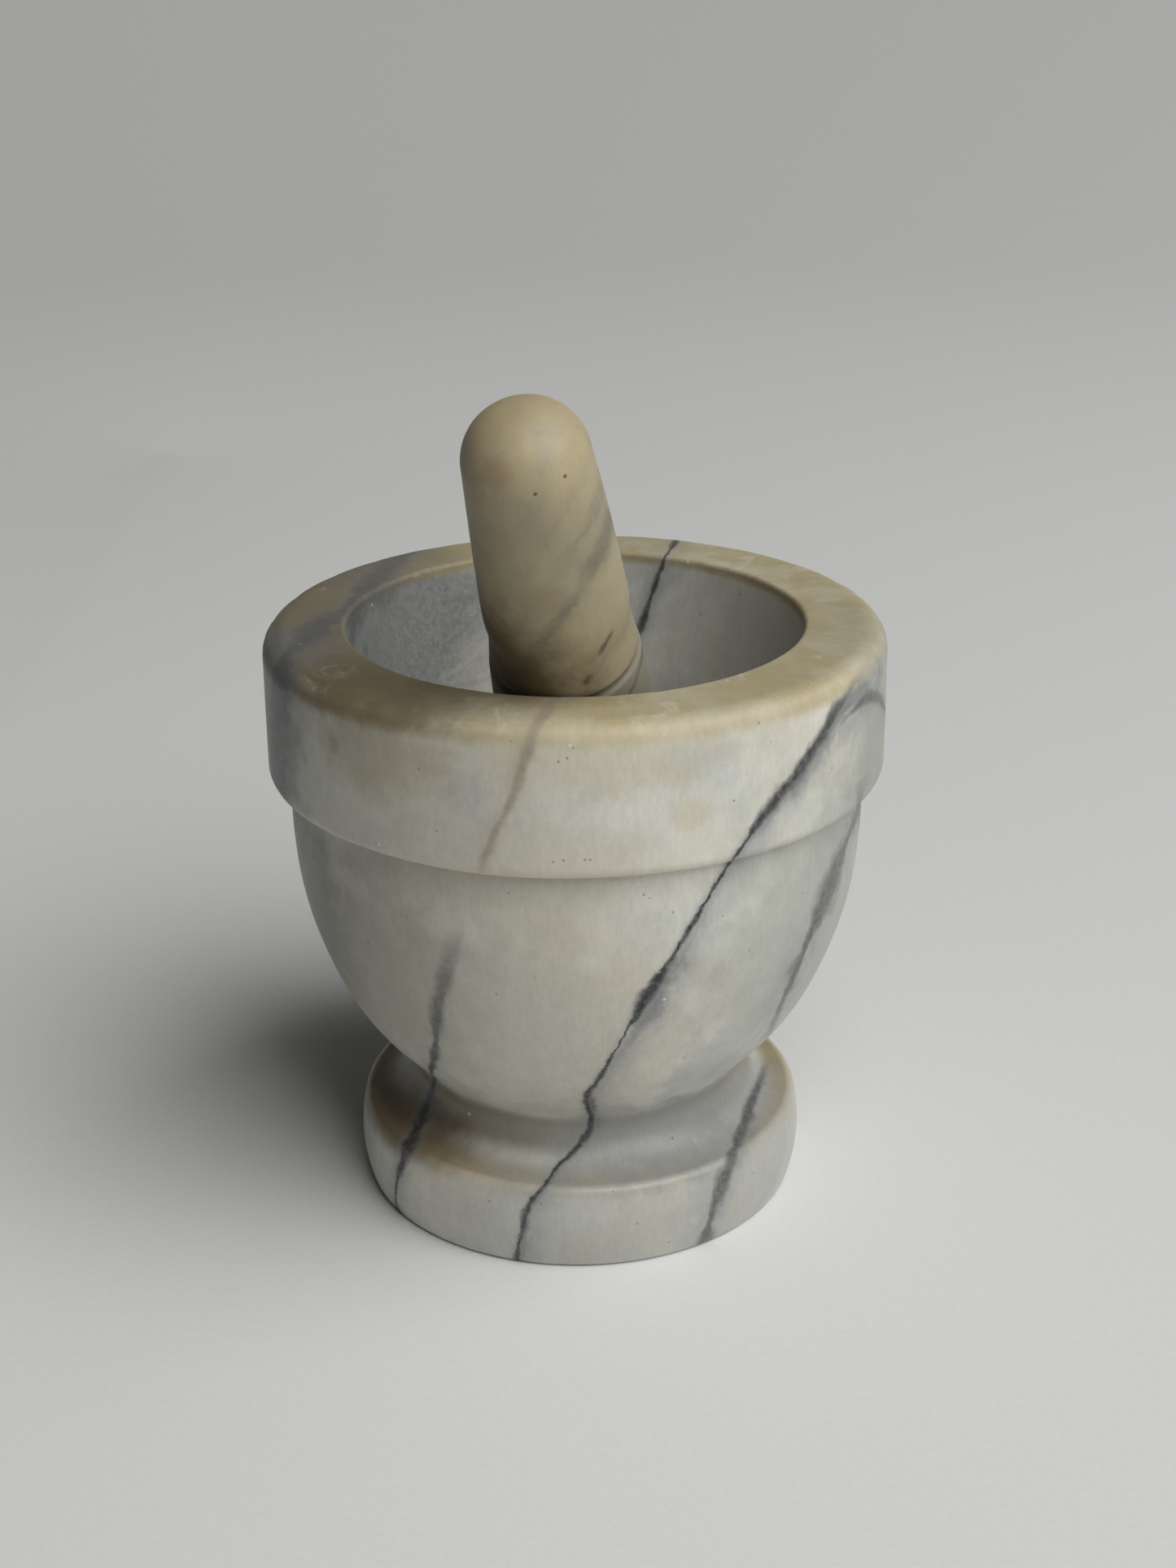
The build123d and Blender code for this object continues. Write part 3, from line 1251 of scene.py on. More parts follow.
    def slate_cloud(self, skin: Skin, grain: Socket) -> None:
        """A body of blue-grey crystalline stone inside the left of the bowl.

        Args:
            skin: the skin it goes on.
            grain: crystal grain from 0 to 1.
        """
        bench = skin.bench
        away = bench.move("DISTANCE", skin.place, metres(self.slate_middle))
        rough = bench.ripple(skin.place, 60.0, 5.0, 0.65, 0.7)
        gap = bench.sum("MULTIPLY_ADD", rough, self.slate_ragged * MM, away)
        mask = bench.step(gap, *metres(self.slate_reach), 1.0, 0.0)
        sugar = bench.dimmed(self.slate, bench.step(grain, 0.2, 0.8, 0.86, 1.15))
        skin.cover(bench.product(mask, 0.9), sugar)

    def through_vein(self, skin: Skin, at: MortarPlace) -> None:
        """The upper part of the left vein: crisp at the back, a faint brown line in front.

        Args:
            skin: the skin it goes on.
            at: where on the mortar.
        """
        bench = skin.bench
        gap = self.left_vein.gap(bench, at)
        back = bench.product(bench.step(at.z, 0.066, 0.072), bench.step(at.y, -0.005, 0.02))
        self.back_look.lay(skin, gap, back, 1.0)
        front = bench.product(bench.step(at.z, 0.0735, 0.0785), bench.step(at.y, 0.02, -0.005))
        self.brown_look.lay(skin, gap, front, 1.3)

    def shoulder_vein(self, skin: Skin, at: MortarPlace) -> None:
        """The branch that leaves the main vein near the rim and falls away round the right side.

        Args:
            skin: the skin it goes on.
            at: where on the mortar.
        """
        bench = skin.bench
        line = bench.curve(at.y, [(-0.034, 0.0895), (-0.0287, 0.0920), (-0.0235, 0.0928),
                                  (-0.019, 0.0914), (-0.012, 0.0872), (0.005, 0.0765),
                                  (0.030, 0.0600)])
        shown = bench.product(bench.step(at.x, 0.0385, 0.0425), bench.step(at.y, 0.028, -0.002))
        self.branch_look.lay(skin, bench.sum("SUBTRACT", line, at.z), shown, 1.2)

    def handling_marks_and_painted_light(self, skin: Skin, at: MortarPlace) -> None:
        """Ochre on the rim and the foot's shoulder; brown dirt with painted shade in the waist,
        under the collar and at the hollow's top edge; paler rubbed edges with painted highlights.

        Args:
            skin: the skin it goes on.
            at: where on the mortar.
        """
        bench = skin.bench
        rim = skin.broken("rim_stain", scale=150.0, ragged=0.55)
        blotch = bench.step(skin.noise(110.0, 5.0, 0.6, 0.5), 0.34, 0.62, 0.72, 1.0)
        skin.cover(bench.product(rim, blotch, 0.92), self.ochre)
        left = bench.step(at.x, -0.012, -0.040)
        smudge = bench.product(rim, left, bench.step(skin.noise(95.0, 4.0, 0.6), 0.38, 0.6))
        skin.cover(bench.product(smudge, 0.75), self.soot)
        skin.cover(bench.product(rim, left, 0.8), self.umber)
        chalk = bench.product(rim, bench.step(skin.noise(130.0, 4.0, 0.6, 1.0), 0.6, 0.72))
        skin.cover(bench.product(chalk, 0.45), self.chalk)
        for tint, scale, ragged, share, colour in (
                ("shoulder", 120.0, 0.5, 0.85, self.honey),
                # Brown dirt with painted shade: the waist under the bowl, under the collar, and
                # the hollow's top edge.
                ("grime_and_shade", 90.0, 0.6, 0.75, self.grime_and_shade),
                # Paler edges on the rim, the collar and the foot: partly wear, partly painted
                # highlights where light catches the rounding.
                ("wear_and_highlight_edge", 260.0, 0.9, 0.35, self.wear_and_highlight)):
            skin.cover(bench.product(skin.broken(tint, scale, ragged), share), colour)


BAND_RISE = 1.6  # how far the pestle's bands climb for each unit sideways
BAND_SLANT = math.hypot(1.0, BAND_RISE)


@dataclass(frozen=True)
class SlantBand:
    """A flat vein sheet that cuts slantwise through the pestle.

    Attributes:
        height: where it crosses the axis, in mm from the grinding end.
        look: how it is drawn.
        strength: how strong it is.
        middle: where it shows, if it shows at one place only, in mm.
        reach: how far it shows from there, in mm.
    """

    height: float
    look: VeinLook
    strength: float
    middle: Triple | None = None
    reach: float = 0.0

    def lay(self, skin: Skin, u: Socket, w: Socket) -> None:
        """Lays the band on a skin that reads the pestle's own frame.

        Args:
            skin: the skin it goes on.
            u: place to the right of the axis.
            w: place along the axis.
        """
        bench = skin.bench
        rise = bench.sum("MULTIPLY_ADD", u, -BAND_RISE, w)
        across = bench.sum("DIVIDE", bench.sum("SUBTRACT", rise, self.height * MM), -BAND_SLANT)
        if self.middle is None:
            shown = bench.step(skin.noise(85.0, 2.0, 0.5), 0.30, 0.56, 0.3)
        else:
            shown = skin.patch(self.middle, self.reach, (1.0, 1.0, 1.0), 0.8)
        self.look.lay(skin, across, bench.product(shown, self.strength), 1.0)


@dataclass(frozen=True)
class PestleMarble:
    """Yellow-beige marble with soft grey-brown bands that wind round the handle.

    Places are in the pestle's own frame, from the grinding end, with the axis upwards.
    """

    pale: Colour = (0.425, 0.362, 0.228)
    warm: Colour = (0.395, 0.32, 0.19)
    cool: Colour = (0.335, 0.30, 0.215)
    blotch: Colour = (0.31, 0.235, 0.13)
    head: Colour = (0.25, 0.248, 0.205)
    held: Colour = (0.27, 0.235, 0.16)
    grime_and_shade: Colour = (0.12, 0.10, 0.07)
    crumb: Colour = (0.14, 0.10, 0.06)
    drum: float = 10.0
    held_drift: float = 16.0
    roughness: float = 0.42
    grain_roughness: float = 0.14
    shader: MarbleShader = MarbleShader(translucency=0.4, depth=(3.2, 2.2, 1.2))
    bands: tuple[SlantBand, ...] = (
        SlantBand(72.4, VeinLook(width=1.15, haze=1.6, bleed=0.8, wander=1.3,
                                 ink=(0.06, 0.055, 0.04), ink_share=0.8,
                                 cloud=(0.20, 0.18, 0.13)), 1.0, (8.4, -6.6, 86.2), 2.6),
        SlantBand(71.4, VeinLook(width=1.1, haze=1.4, bleed=0.8, wander=1.2,
                                 ink=(0.06, 0.055, 0.04), ink_share=0.8,
                                 cloud=(0.20, 0.18, 0.13)), 1.0, (5.6, -8.6, 80.4), 1.4),
        SlantBand(70.0, VeinLook(width=0.7, haze=2.4, bleed=0.8, wander=1.6,
                                 ink=(0.10, 0.09, 0.07), ink_share=0.6,
                                 cloud=(0.22, 0.20, 0.15)), 0.8, (9.5, -5.0, 79.0), 6.0),
        SlantBand(88.5, VeinLook(width=2.9, haze=4.6, bleed=1.0, wander=3.2,
                                 ink=(0.13, 0.117, 0.085), ink_share=0.62,
                                 cloud=(0.19, 0.168, 0.118), cloud_share=0.65), 1.0),
        SlantBand(96.4, VeinLook(width=2.3, haze=4.0, bleed=1.0, wander=4.4,
                                 ink=(0.16, 0.145, 0.105), ink_share=0.5,
                                 cloud=(0.22, 0.195, 0.135), cloud_share=0.5), 0.8),
        SlantBand(104.5, VeinLook(width=2.0, haze=3.0, bleed=1.0, wander=4.0,
                                  ink=(0.20, 0.17, 0.12), ink_share=0.35,
                                  cloud=(0.25, 0.22, 0.15), cloud_share=0.4), 0.45),
        SlantBand(56.0, VeinLook(width=0.8, haze=4.0, bleed=0.5, wander=1.6,
                                 ink=(0.10, 0.095, 0.08), cloud=(0.30, 0.28, 0.22)), 0.8),
        SlantBand(31.0, VeinLook(width=0.7, haze=5.0, bleed=1.0, wander=2.0,
                                 ink=(0.20, 0.18, 0.14), cloud=(0.32, 0.30, 0.24)), 0.7),
    )
    spots: tuple[Spot, ...] = (
        Spot((3.0, -8.2, 119.1), 0.38, (0.06, 0.045, 0.03), 0.9, ragged=0.3),
        Spot((6.6, -5.3, 119.7), 0.42, (0.07, 0.05, 0.03), 0.9, ragged=0.3),
        # Dark brown dirt with painted shade low on the pestle's left, next to the rim.
        Spot((-8.0, -7.0, 79.0), 16.0, (0.085, 0.058, 0.026), 0.88, (0.9, 0.9, 0.8), 0.8),
        Spot((-2.0, -7.0, 121.5), 3.0, (0.33, 0.24, 0.13), 0.5),
        Spot((-7.5, -6.5, 117.0), 5.0, (0.32, 0.24, 0.135), 0.4),
        Spot((1.0, -9.0, 99.0), 4.0, (0.29, 0.22, 0.13), 0.4),
    )

    def make(self, groups: StoneGroups, pestle: "Pestle") -> bpy.types.Material:
        """Builds the material.

        Args:
            groups: the shared groups.
            pestle: the pestle, for where its axis lies.

        Returns:
            The finished material.
        """
        material, bench, place = fresh_material(Stone.PESTLE.slot)
        own = bench.move("SUBTRACT", place, metres(pestle.tip))
        u, v, w = (bench.move("DOT_PRODUCT", own, tuple(row)) for row in pestle.turn().T)
        own = bench.vector(u, v, w)
        grain = bench.use(groups.grain, Place=own, Along=bench.attribute("along"),
                          Drum=self.drum * MM)
        cloud = bench.use(groups.cloud, Place=own, Pale=self.pale, Warm=self.warm, Cool=self.cool)
        skin = Skin(bench, groups, own, cloud["Color"])
        blotch = bench.step(skin.noise(330.0, 4.0, 0.6, 0.4), 0.54, 0.72)
        skin.cover(bench.product(blotch, 0.25), self.blotch)
        drift = bench.product(bench.ripple(own, 70.0, 3.0, 0.6), self.held_drift * MM)
        level = bench.sum("ADD", w, drift)
        for height, top, bottom, share, colour in (
                (level, 118.0, 112.0, 0.28, self.held),
                (level, 98.0, 78.0, 0.35, self.held),
                (w, 77.0, 75.5, 0.75, self.head)):
            skin.cover(bench.step(height, top * MM, bottom * MM, 0.0, share), colour)
        for band in self.bands:
            band.lay(skin, u, w)
        for spot in self.spots:
            spot.lay(skin)
        skin.dim(bench.sum("MULTIPLY_ADD", grain["Streak"], 0.05, 0.975))
        # Painted shade, partly dirt: the groove round the pestle is darkened.
        groove = skin.broken("grime_and_shade", scale=160.0, ragged=0.5)
        skin.cover(bench.product(groove, 0.55), self.grime_and_shade)
        specks = skin.specks(scale=300.0, size=0.26, share=0.03)
        skin.cover(bench.product(specks, 0.5), self.crumb)
        rough = bench.sum("MULTIPLY_ADD", grain["Grain"], self.grain_roughness, self.roughness)
        height = bench.sum("SUBTRACT", grain["Height"], specks)
        self.shader.finish(bench, skin.colour, rough, height)
        return material


# ---------------------------------------------------------------------------------------------
# The two stones
# ---------------------------------------------------------------------------------------------


@dataclass
class Mortar:
    """The mortar: a foot, a waist, a round bowl under a straight collar, and a deep hollow.

    Sizes are in mm and angles in degrees, and a place on the outline is its radius and height.
    Edges and eases say how far a corner's rounding reaches. bowl_start is the direction in which
    the bowl leaves the neck, and waves and nibble say how high the relief is.
    """

    height: float = 98.5
    collar_radius: float = 50.0
    collar_bottom: float = 74.5
    bowl_radius: float = 46.7
    bowl_swell: tuple[tuple[float, float], ...] = ((36.2, 32.0), (42.4, 44.0), (45.7, 56.0))
    bowl_start: tuple[float, float] = (0.66, 0.75)
    neck: tuple[float, float] = (27.6, 22.4)
    cove_middle: tuple[float, float] = (30.0, 16.9)
    foot_radius: float = 36.4
    foot_belly: float = 37.75
    foot_belly_share: float = 0.55
    foot_top: tuple[float, float] = (36.7, 14.9)
    hollow_radius: float = 34.8
    hollow_centre: float = 68.5
    wall_taper: float = 3.6
    base_edge: float = 0.8
    foot_edge: float = 1.2
    collar_edge: float = 2.0
    rim_outer_edge: float = 3.8
    rim_inner_edge: float = 0.7
    neck_ease: float = 2.2
    rim_width: float = 9.0
    under_collar_ease: float = 0.5
    belly_angle: float = 45.0
    slow_wave: float = 0.06
    short_wave: float = 0.015
    nibble: float = 0.17
    nibble_place: tuple[float, float] = (48.6, 97.4)
    nibble_reach: float = 1.6
    step: float = 1.15
    sides: int = 360

    def outline(self) -> Array:
        """The outline from the middle of the base, out, up, over the rim and down the hollow.

        Returns:
            Points as an (n, 2) array, in mm.
        """
        taper = math.radians(self.wall_taper)
        low = (self.hollow_radius * math.cos(taper),
               self.hollow_centre - self.hollow_radius * math.sin(taper))
        high = (low[0] + (self.height - low[1]) * math.tan(taper), self.height)
        bottom = (0.0, self.hollow_centre - self.hollow_radius)
        bend = math.radians(self.belly_angle)
        belly = (self.hollow_radius * math.cos(bend),
                 self.hollow_centre - self.hollow_radius * math.sin(bend))
        base_corner = (self.foot_radius, 0.0)
        collar_low = (self.collar_radius, self.collar_bottom)
        collar_high = (self.collar_radius, self.height)
        under_collar = (self.bowl_radius, self.collar_bottom)
        runs = [
            straight((0.0, 0.0), base_corner, 2.4),
            arc_through(base_corner, (self.foot_belly, self.foot_belly_share * self.foot_top[1]),
                        self.foot_top, self.step),
            arc_through(self.foot_top, self.cove_middle, self.neck, 0.7),
            fair_curve([self.neck, *self.bowl_swell, under_collar], self.bowl_start, (0.0, 1.0),
                       self.step),
            straight(under_collar, collar_low, 0.5),
            straight(collar_low, collar_high, self.step),
            straight(collar_high, high, 0.9),
            straight(high, low, self.step),
            arc_through(low, belly, bottom, 1.3),
        ]
        reaches = [self.base_edge, self.foot_edge, self.neck_ease, self.under_collar_ease,
                   self.collar_edge, self.rim_outer_edge, self.rim_inner_edge, 0.0]
        return join_eased(runs, reaches)

    def relief(self, place: Array) -> Array:
        """Slow unevenness of the turning, nibbled outer rim, and a few chips.

        The sum of slow waves and short ones, less a nibble out of the rim's outer edge where a
        third set of waves is high, less the chips' own depths. It fades out at the base.

        Args:
            place: places, in mm.

        Returns:
            Height in mm, outwards.
        """
        radius, up = np.hypot(place[..., 0], place[..., 1]), place[..., 2]
        slow = Unevenness(34.0, seed=3).at(place)
        short = Unevenness(7.0, seed=5).at(place)
        nibble = np.clip(Unevenness(6.5, seed=8).at(place), 0.0, 1.6)
        (out, high), reach = self.nibble_place, self.nibble_reach
        edge = np.exp(-(((radius - out) / reach) ** 2) - ((up - high) / reach) ** 2)
        height = self.slow_wave * slow + self.short_wave * short - self.nibble * nibble * edge
        for chip in self.chips():
            height = height - chip.at(place)
        return height * ramp(up, 0.0, 3.0)

    @staticmethod
    def chips() -> tuple[Dent, ...]:
        """Small chips on the rim, the collar's lower edge and the foot.

        Returns:
            The chips.
        """
        return (
            Dent((44.8, -21.8, 97.9), 1.3, 0.22),
            Dent((-30.2, -37.6, 98.2), 1.6, 0.20),
            Dent((12.5, -36.0, 98.4), 1.0, 0.14),
            Dent((-43.0, 25.5, 75.2), 1.4, 0.30),
            Dent((29.5, -39.5, 75.0), 0.9, 0.18),
            Dent((-14.0, 34.4, 0.9), 1.5, 0.30),
            Dent((36.6, 20.5, 98.1), 1.2, 0.25),
        )

    def tints(self, outline: Array) -> dict[str, Array]:
        """Numbers along the outline that place the stain, the dirt with painted shade, and the
        rubbed edges with painted highlights.

        Args:
            outline: the outline, in mm.

        Returns:
            One array per tint, by name.
        """
        radius, height = outline.T
        run = lengths(outline)
        crest = run[np.argmax(height)]
        inside = ramp(run, crest + 12.0, crest + 16.0) * (radius < self.collar_radius - 11.0)
        stain_outside = ramp(height, self.height - 5.2, self.height - 1.0)
        stain_inside = ramp(height, self.height - 2.6, self.height - 0.8)
        top = np.where(run > crest + self.rim_width, stain_inside, stain_outside)
        rim_corner, collar_corner, foot_corner = (48.9, 97.4), (49.4, 75.2), (36.2, 14.3)
        under_collar, hollow_corner, foot_shoulder = (46.9, 74.0), (36.8, 98.1), (34.6, 15.2)
        # Painted highlights with wear: the rim, collar and foot corners are paled.
        wear_and_highlight = (0.7 * nearness(outline, rim_corner, 1.2) + nearness(outline, collar_corner, 1.3)
                + 0.8 * nearness(outline, foot_corner, 0.9))
        # Painted shade, partly dirt: the waist under the bowl, the collar's underside and the
        # hollow's top edge are darkened.
        cove = ramp(height, self.foot_top[1] + 0.4, self.foot_top[1] + 4.0)
        cove = cove * ramp(height, self.neck[1] + 2.6, self.neck[1] - 1.6) * (radius < 35.0)
        grime_and_shade = cove * (run < crest) + 0.3 * nearness(outline, under_collar, 1.6)
        grime_and_shade = grime_and_shade + 0.55 * nearness(outline, hollow_corner, 0.8)
        return {
            "along": run * MM,
            "rim_stain": top,
            "shoulder": nearness(outline, foot_shoulder, 3.2),
            "grime_and_shade": np.clip(grime_and_shade, 0.0, 1.0),
            "wear_and_highlight_edge": np.clip(wear_and_highlight, 0.0, 1.0),
            "ground": inside,
        }

    def build(self, groups: StoneGroups) -> bpy.types.Object:
        """Builds, dresses and places the mortar.

        Args:
            groups: the shared groups.

        Returns:
            The finished piece.
        """
        outline = self.outline()
        piece = TurnedStone("mortar_stone", outline, self.sides, self.relief,
                            self.tints(outline)).build()
        piece.data.materials.append(MortarMarble().make(groups))
        return settle(piece, Stone.MORTAR)


@dataclass
class Pestle:
    """The pestle: a club-shaped head, a turned groove, a band, and a domed handle.

    Lengths are measured in mm from the rounded grinding end; the rest are sizes in mm, and angles
    in degrees. The groove, the band's ledge and the handle's start are eased by eases, in order.
    """

    grind_centre: tuple[float, float, float] = (5.27, 6.12, 50.76)
    grind_radius: float = 15.0
    lean: float = 32.6
    lean_bearing: float = -102.2
    head_length: float = 76.4
    head_top_radius: float = 11.45
    groove_depth: float = 0.45
    groove_width: float = 1.4
    band_length: float = 8.0
    band_radius: float = 11.2
    band_narrowing: float = 0.7
    ledge_run: float = 1.8
    handle_length: float = 32.3
    handle_radius: float = 10.85
    handle_middle_radius: float = 10.15
    shoulder_radius: float = 9.1
    dome_height: float = 8.3
    dome_fullness: float = 0.6
    eases: tuple[float, ...] = (0.0, 0.5, 0.5, 1.2, 1.2, 0.0)
    head_wave: float = 0.03
    handle_wave: float = 0.05
    short_wave: float = 0.015
    step: float = 0.75
    sides: int = 220

    @property
    def axis(self) -> Array:
        """Unit vector up the handle: lean from upright, towards the lean's bearing."""
        lean, bearing = math.radians(self.lean), math.radians(self.lean_bearing)
        return np.array([math.sin(lean) * math.cos(bearing), math.sin(lean) * math.sin(bearing),
                         math.cos(lean)])

    @property
    def tip(self) -> tuple[float, float, float]:
        """The lowest point of the axis, a grinding radius below the centre of the end."""
        return tuple(np.array(self.grind_centre) - self.grind_radius * self.axis)

    def turn(self) -> Array:
        """Rotation whose columns are the level right side, the back, and the axis."""
        side = np.cross((0.0, 0.0, 1.0), self.axis)
        side /= np.linalg.norm(side)
        return np.column_stack([side, np.cross(self.axis, side), self.axis])

    def outline(self) -> Array:
        """The outline from the grinding end up the axis to the top of the dome.

        Returns:
            Points as an (n, 2) array, in mm.
        """
        r = self.grind_radius
        slant = r * math.sqrt(0.5)
        low = self.head_length - 0.5 * self.groove_width
        high = self.head_length + 0.5 * self.groove_width
        band_top = self.head_length + self.band_length
        handle_end = band_top + self.handle_length
        groove_floor = (0.5 * (self.head_top_radius + self.band_radius) - self.groove_depth,
                        self.head_length)
        band_end = (self.band_radius - self.band_narrowing, band_top - self.ledge_run)
        ledge_top = (self.handle_radius, band_top + self.ledge_run)
        handle_middle = (self.handle_middle_radius, band_top + 0.5 * self.handle_length)
        shoulder = (self.shoulder_radius, handle_end)
        top = handle_end + self.dome_height
        full = handle_end + self.dome_fullness * self.dome_height
        runs = [
            arc_through((0.0, 0.0), (slant, r - slant), (r, r), self.step),
            straight((r, r), (self.head_top_radius, low), self.step),
            arc_through((self.head_top_radius, low), groove_floor, (self.band_radius, high), 0.2),
            straight((self.band_radius, high), band_end, self.step),
            straight(band_end, ledge_top, 0.2),
            arc_through(ledge_top, handle_middle, shoulder, self.step),
            bezier([shoulder, (self.shoulder_radius, full),
                    (self.shoulder_radius * self.dome_fullness, top), (0.0, top)], 26),
        ]
        return join_eased(runs, self.eases, 5)

    def relief(self, place: Array) -> Array:
        """Slow hand-turned unevenness, stronger up the handle, and short waves.

        Args:
            place: places in the pestle's own frame, in mm.

        Returns:
            Height in mm, outwards.
        """
        rise = ramp(place[..., 2], 55.0, 75.0)
        height = (self.head_wave + self.handle_wave * rise) * Unevenness(26.0, seed=11).at(place)
        return height + self.short_wave * Unevenness(6.0, seed=12).at(place)

    def tints(self, outline: Array) -> dict[str, Array]:
        """Numbers along the outline that place the grain, and the dirt and painted shade in the
        groove.

        Args:
            outline: the outline, in mm.

        Returns:
            One array per tint, by name.
        """
        return {
            "along": lengths(outline) * MM,
            "grime_and_shade": nearness(outline, (11.0, self.head_length), 0.9),
        }

    def build(self, groups: StoneGroups) -> bpy.types.Object:
        """Builds, dresses and places the pestle.

        Args:
            groups: the shared groups.

        Returns:
            The finished piece.
        """
        outline = self.outline()
        piece = TurnedStone("pestle_stone", outline, self.sides, self.relief, self.tints(outline),
                            self.turn(), self.tip).build()
        piece.data.materials.append(PestleMarble().make(groups, self))
        return settle(piece, Stone.PESTLE)


def settle(piece: bpy.types.Object, stone: Stone) -> bpy.types.Object:
    """Puts a piece on its body, in place of its plain solid.

    Args:
        piece: the piece.
        stone: which stone it is.

    Returns:
        The same piece.
    """
    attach(piece, stone.value)
    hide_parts(stone.value)
    return piece


# ---------------------------------------------------------------------------------------------
# Studio
# ---------------------------------------------------------------------------------------------


@dataclass
class Studio:
    """A plain pale table, a big soft lamp to the right, a black cloth to the left, and the camera.

    Lengths are in metres and angles in radians; the lens is in mm and the lamp's power in watts.
    """

    flat: float = 0.9
    sweep_radius: float = 1.6
    sweep_angle: float = math.radians(55.0)
    rows: int = 20
    climb_rows: int = 24
    sides: int = 128
    card: Colour = (0.735, 0.745, 0.735)
    cloth_place: float = -0.15
    cloth_half_width: float = 0.5
    cloth_height: float = 0.5
    lamp_place: tuple[float, float, float] = (1.05, -0.98, 1.93)
    lamp_aim: tuple[float, float, float] = (0.0, 0.0, 0.05)
    lamp_size: float = 2.2
    lamp_power: float = 63.0
    lamp_colour: Colour = (1.0, 0.998, 0.985)
    room_colour: Colour = (1.0, 0.95, 0.86)
    room_strength: float = 0.05
    eye: tuple[float, float, float] = (0.0, -0.36025, 0.21649)
    pitch: float = 0.3873
    yaw: float = 0.0052
    roll: float = -0.0080
    lens: float = 54.10

    def table(self) -> bpy.types.Object:
        """A table top that sweeps up all round into a low pale wall, like a very wide dish.

        Rings grow as the cube of the row out to the flat's edge, then follow a circle upwards:
        radius = flat + R sin a, height = R (1 - cos a).

        Returns:
            The table.
        """
        angle = np.arange(self.sides) * (FULL_TURN / self.sides)
        climb = np.linspace(0.0, self.sweep_angle, self.climb_rows)[1:]
        radius = np.concatenate([self.flat * np.linspace(0.1, 1.0, self.rows) ** 3,
                                 self.flat + self.sweep_radius * np.sin(climb)])
        height = np.concatenate([np.zeros(self.rows),
                                 self.sweep_radius * (1.0 - np.cos(climb))])
        ring = np.stack([np.cos(angle), np.sin(angle)], -1)
        points = TurnedStone.carry(np.column_stack([radius, height]), ring).reshape(-1, 3)
        here = np.arange(len(points)).reshape(-1, self.sides)
        beside = np.roll(here, -1, axis=1)
        quads = np.stack([here[:-1], here[1:], beside[1:], beside[:-1]], -1).reshape(-1, 4)
        mesh = bpy.data.meshes.new("table")
        mesh.from_pydata(points.tolist(), [], [list(range(self.sides)), *quads.tolist()])
        mesh.polygons.foreach_set("use_smooth", np.ones(len(mesh.polygons), bool))
        table = bpy.data.objects.new("table", mesh)
        bpy.context.scene.collection.objects.link(table)
        mesh.materials.append(self.paper())
        return table

    def cloth(self) -> None:
        """A black cloth to the left that only swallows light: not seen, and casting no shade."""
        reach, high = self.cloth_half_width, self.cloth_height
        corners = [(self.cloth_place, y, z)
                   for y, z in ((-reach, 0.0), (reach, 0.0), (reach, high), (-reach, high))]
        mesh = bpy.data.meshes.new("black_cloth")
        mesh.from_pydata(corners, [], [(0, 1, 2, 3)])
        material, bench, _ = fresh_material("black_cloth")
        shader = bench.lay("ShaderNodeBsdfDiffuse")
        shader.inputs["Color"].default_value = (0.0, 0.0, 0.0, 1.0)
        bench.plug(bench.lay("ShaderNodeOutputMaterial").inputs["Surface"], shader.outputs[0])
        mesh.materials.append(material)
        cloth = bpy.data.objects.new("black_cloth", mesh)
        cloth.visible_camera = cloth.visible_shadow = cloth.visible_glossy = False
        bpy.context.scene.collection.objects.link(cloth)

    def paper(self) -> bpy.types.Material:
        """Matt pale card for the table, with a faint tooth.

        Returns:
            The finished material.
        """
        material, bench, place = fresh_material("pale_card")
        tone = bench.step(bench.noise(place, 900.0, 3.0, 0.6), 0.3, 0.7, 0.97, 1.0)
        shader = bench.lay("ShaderNodeBsdfPrincipled")
        shader.inputs["Roughness"].default_value = 0.75
        shader.inputs["Specular IOR Level"].default_value = 0.25
        bench.plug(shader.inputs["Base Color"], bench.dimmed(self.card, tone))
        out = bench.lay("ShaderNodeOutputMaterial")
        bench.plug(out.inputs["Surface"], shader.outputs[0])
        return material

    def lights(self) -> None:
        """A broad window-like lamp to the right and a dim warm room."""
        light = bpy.data.lights.new("window", "AREA")
        light.shape, light.size = "SQUARE", self.lamp_size
        light.energy, light.color = self.lamp_power, self.lamp_colour
        lamp = bpy.data.objects.new("window", light)
        lamp.location = self.lamp_place
        aim = Vector(self.lamp_aim) - Vector(self.lamp_place)
        lamp.rotation_euler = aim.to_track_quat("-Z", "Y").to_euler()
        bpy.context.scene.collection.objects.link(lamp)
        world = bpy.data.worlds.new("room")
        world.use_nodes = True
        back = world.node_tree.nodes["Background"]
        back.inputs["Color"].default_value = (*self.room_colour, 1.0)
        back.inputs["Strength"].default_value = self.room_strength
        bpy.context.scene.world = world

    def camera(self) -> None:
        """The camera, a little above the rim, looking down on the front."""
        data = bpy.data.cameras.new("view")
        data.lens, data.sensor_width, data.sensor_fit = self.lens, 36.0, "AUTO"
        data.clip_start, data.clip_end = 0.01, 100.0
        camera = bpy.data.objects.new("view", data)
        camera.location = self.eye
        ahead = Vector((math.sin(self.yaw) * math.cos(self.pitch),
                        math.cos(self.yaw) * math.cos(self.pitch), -math.sin(self.pitch)))
        level = Vector((math.cos(self.yaw), -math.sin(self.yaw), 0.0))
        upright = level.cross(ahead)
        right = math.cos(self.roll) * level + math.sin(self.roll) * upright
        up = right.cross(ahead)
        turn = np.column_stack([right, up, -ahead])
        camera.rotation_mode = "QUATERNION"
        camera.rotation_quaternion = Matrix(turn.tolist()).to_quaternion()
        bpy.context.scene.collection.objects.link(camera)
        bpy.context.scene.camera = camera

    def set_up(self) -> None:
        """Places the camera, lays the table, and hangs the cloth and the lamp."""
        self.camera()
        self.table()
        self.cloth()
        self.lights()
        bpy.context.scene.view_settings.view_transform = "Standard"


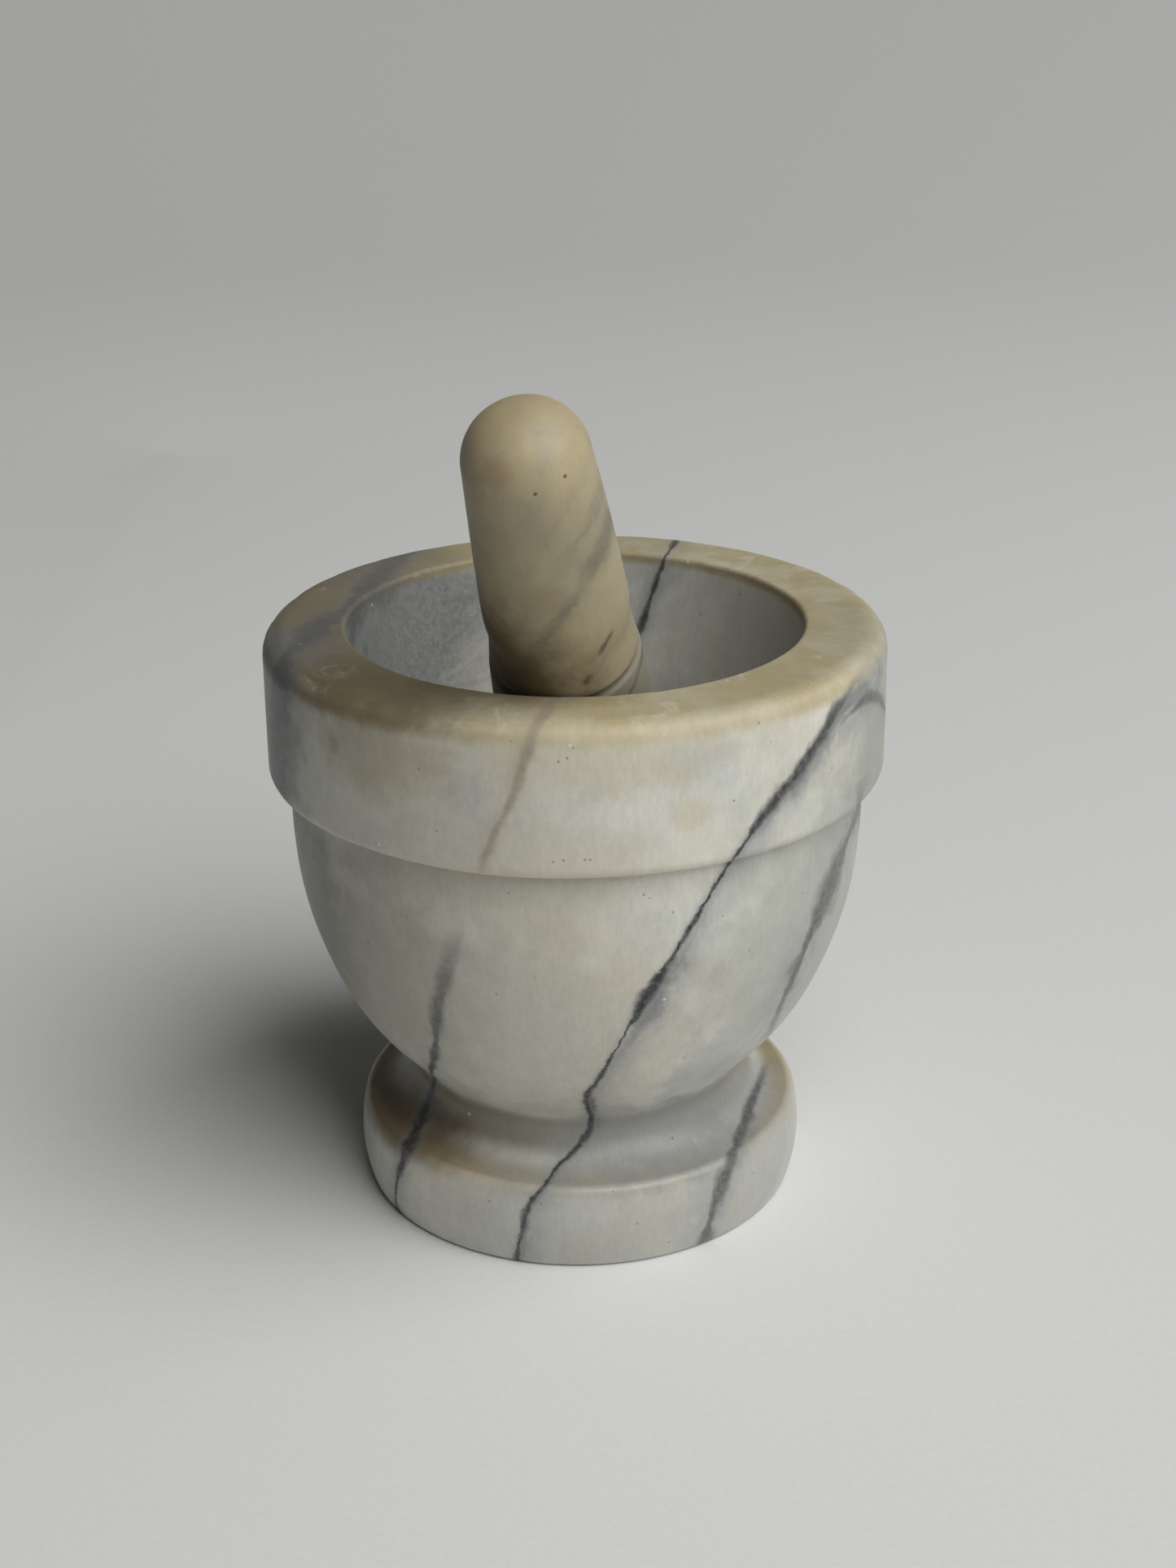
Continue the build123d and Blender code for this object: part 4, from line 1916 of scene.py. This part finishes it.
def main() -> None:
    """Builds both stones and the studio, and reports each piece."""
    logging.basicConfig(level=logging.INFO, format="%(name)s: %(message)s")
    groups = StoneGroups()
    for stone in (Mortar(), Pestle()):
        piece = stone.build(groups)
        LOG.info("%s: %d points, %d faces", piece.name, len(piece.data.vertices),
                 len(piece.data.polygons))
    Studio().set_up()


if __name__ == "__main__":
    main()
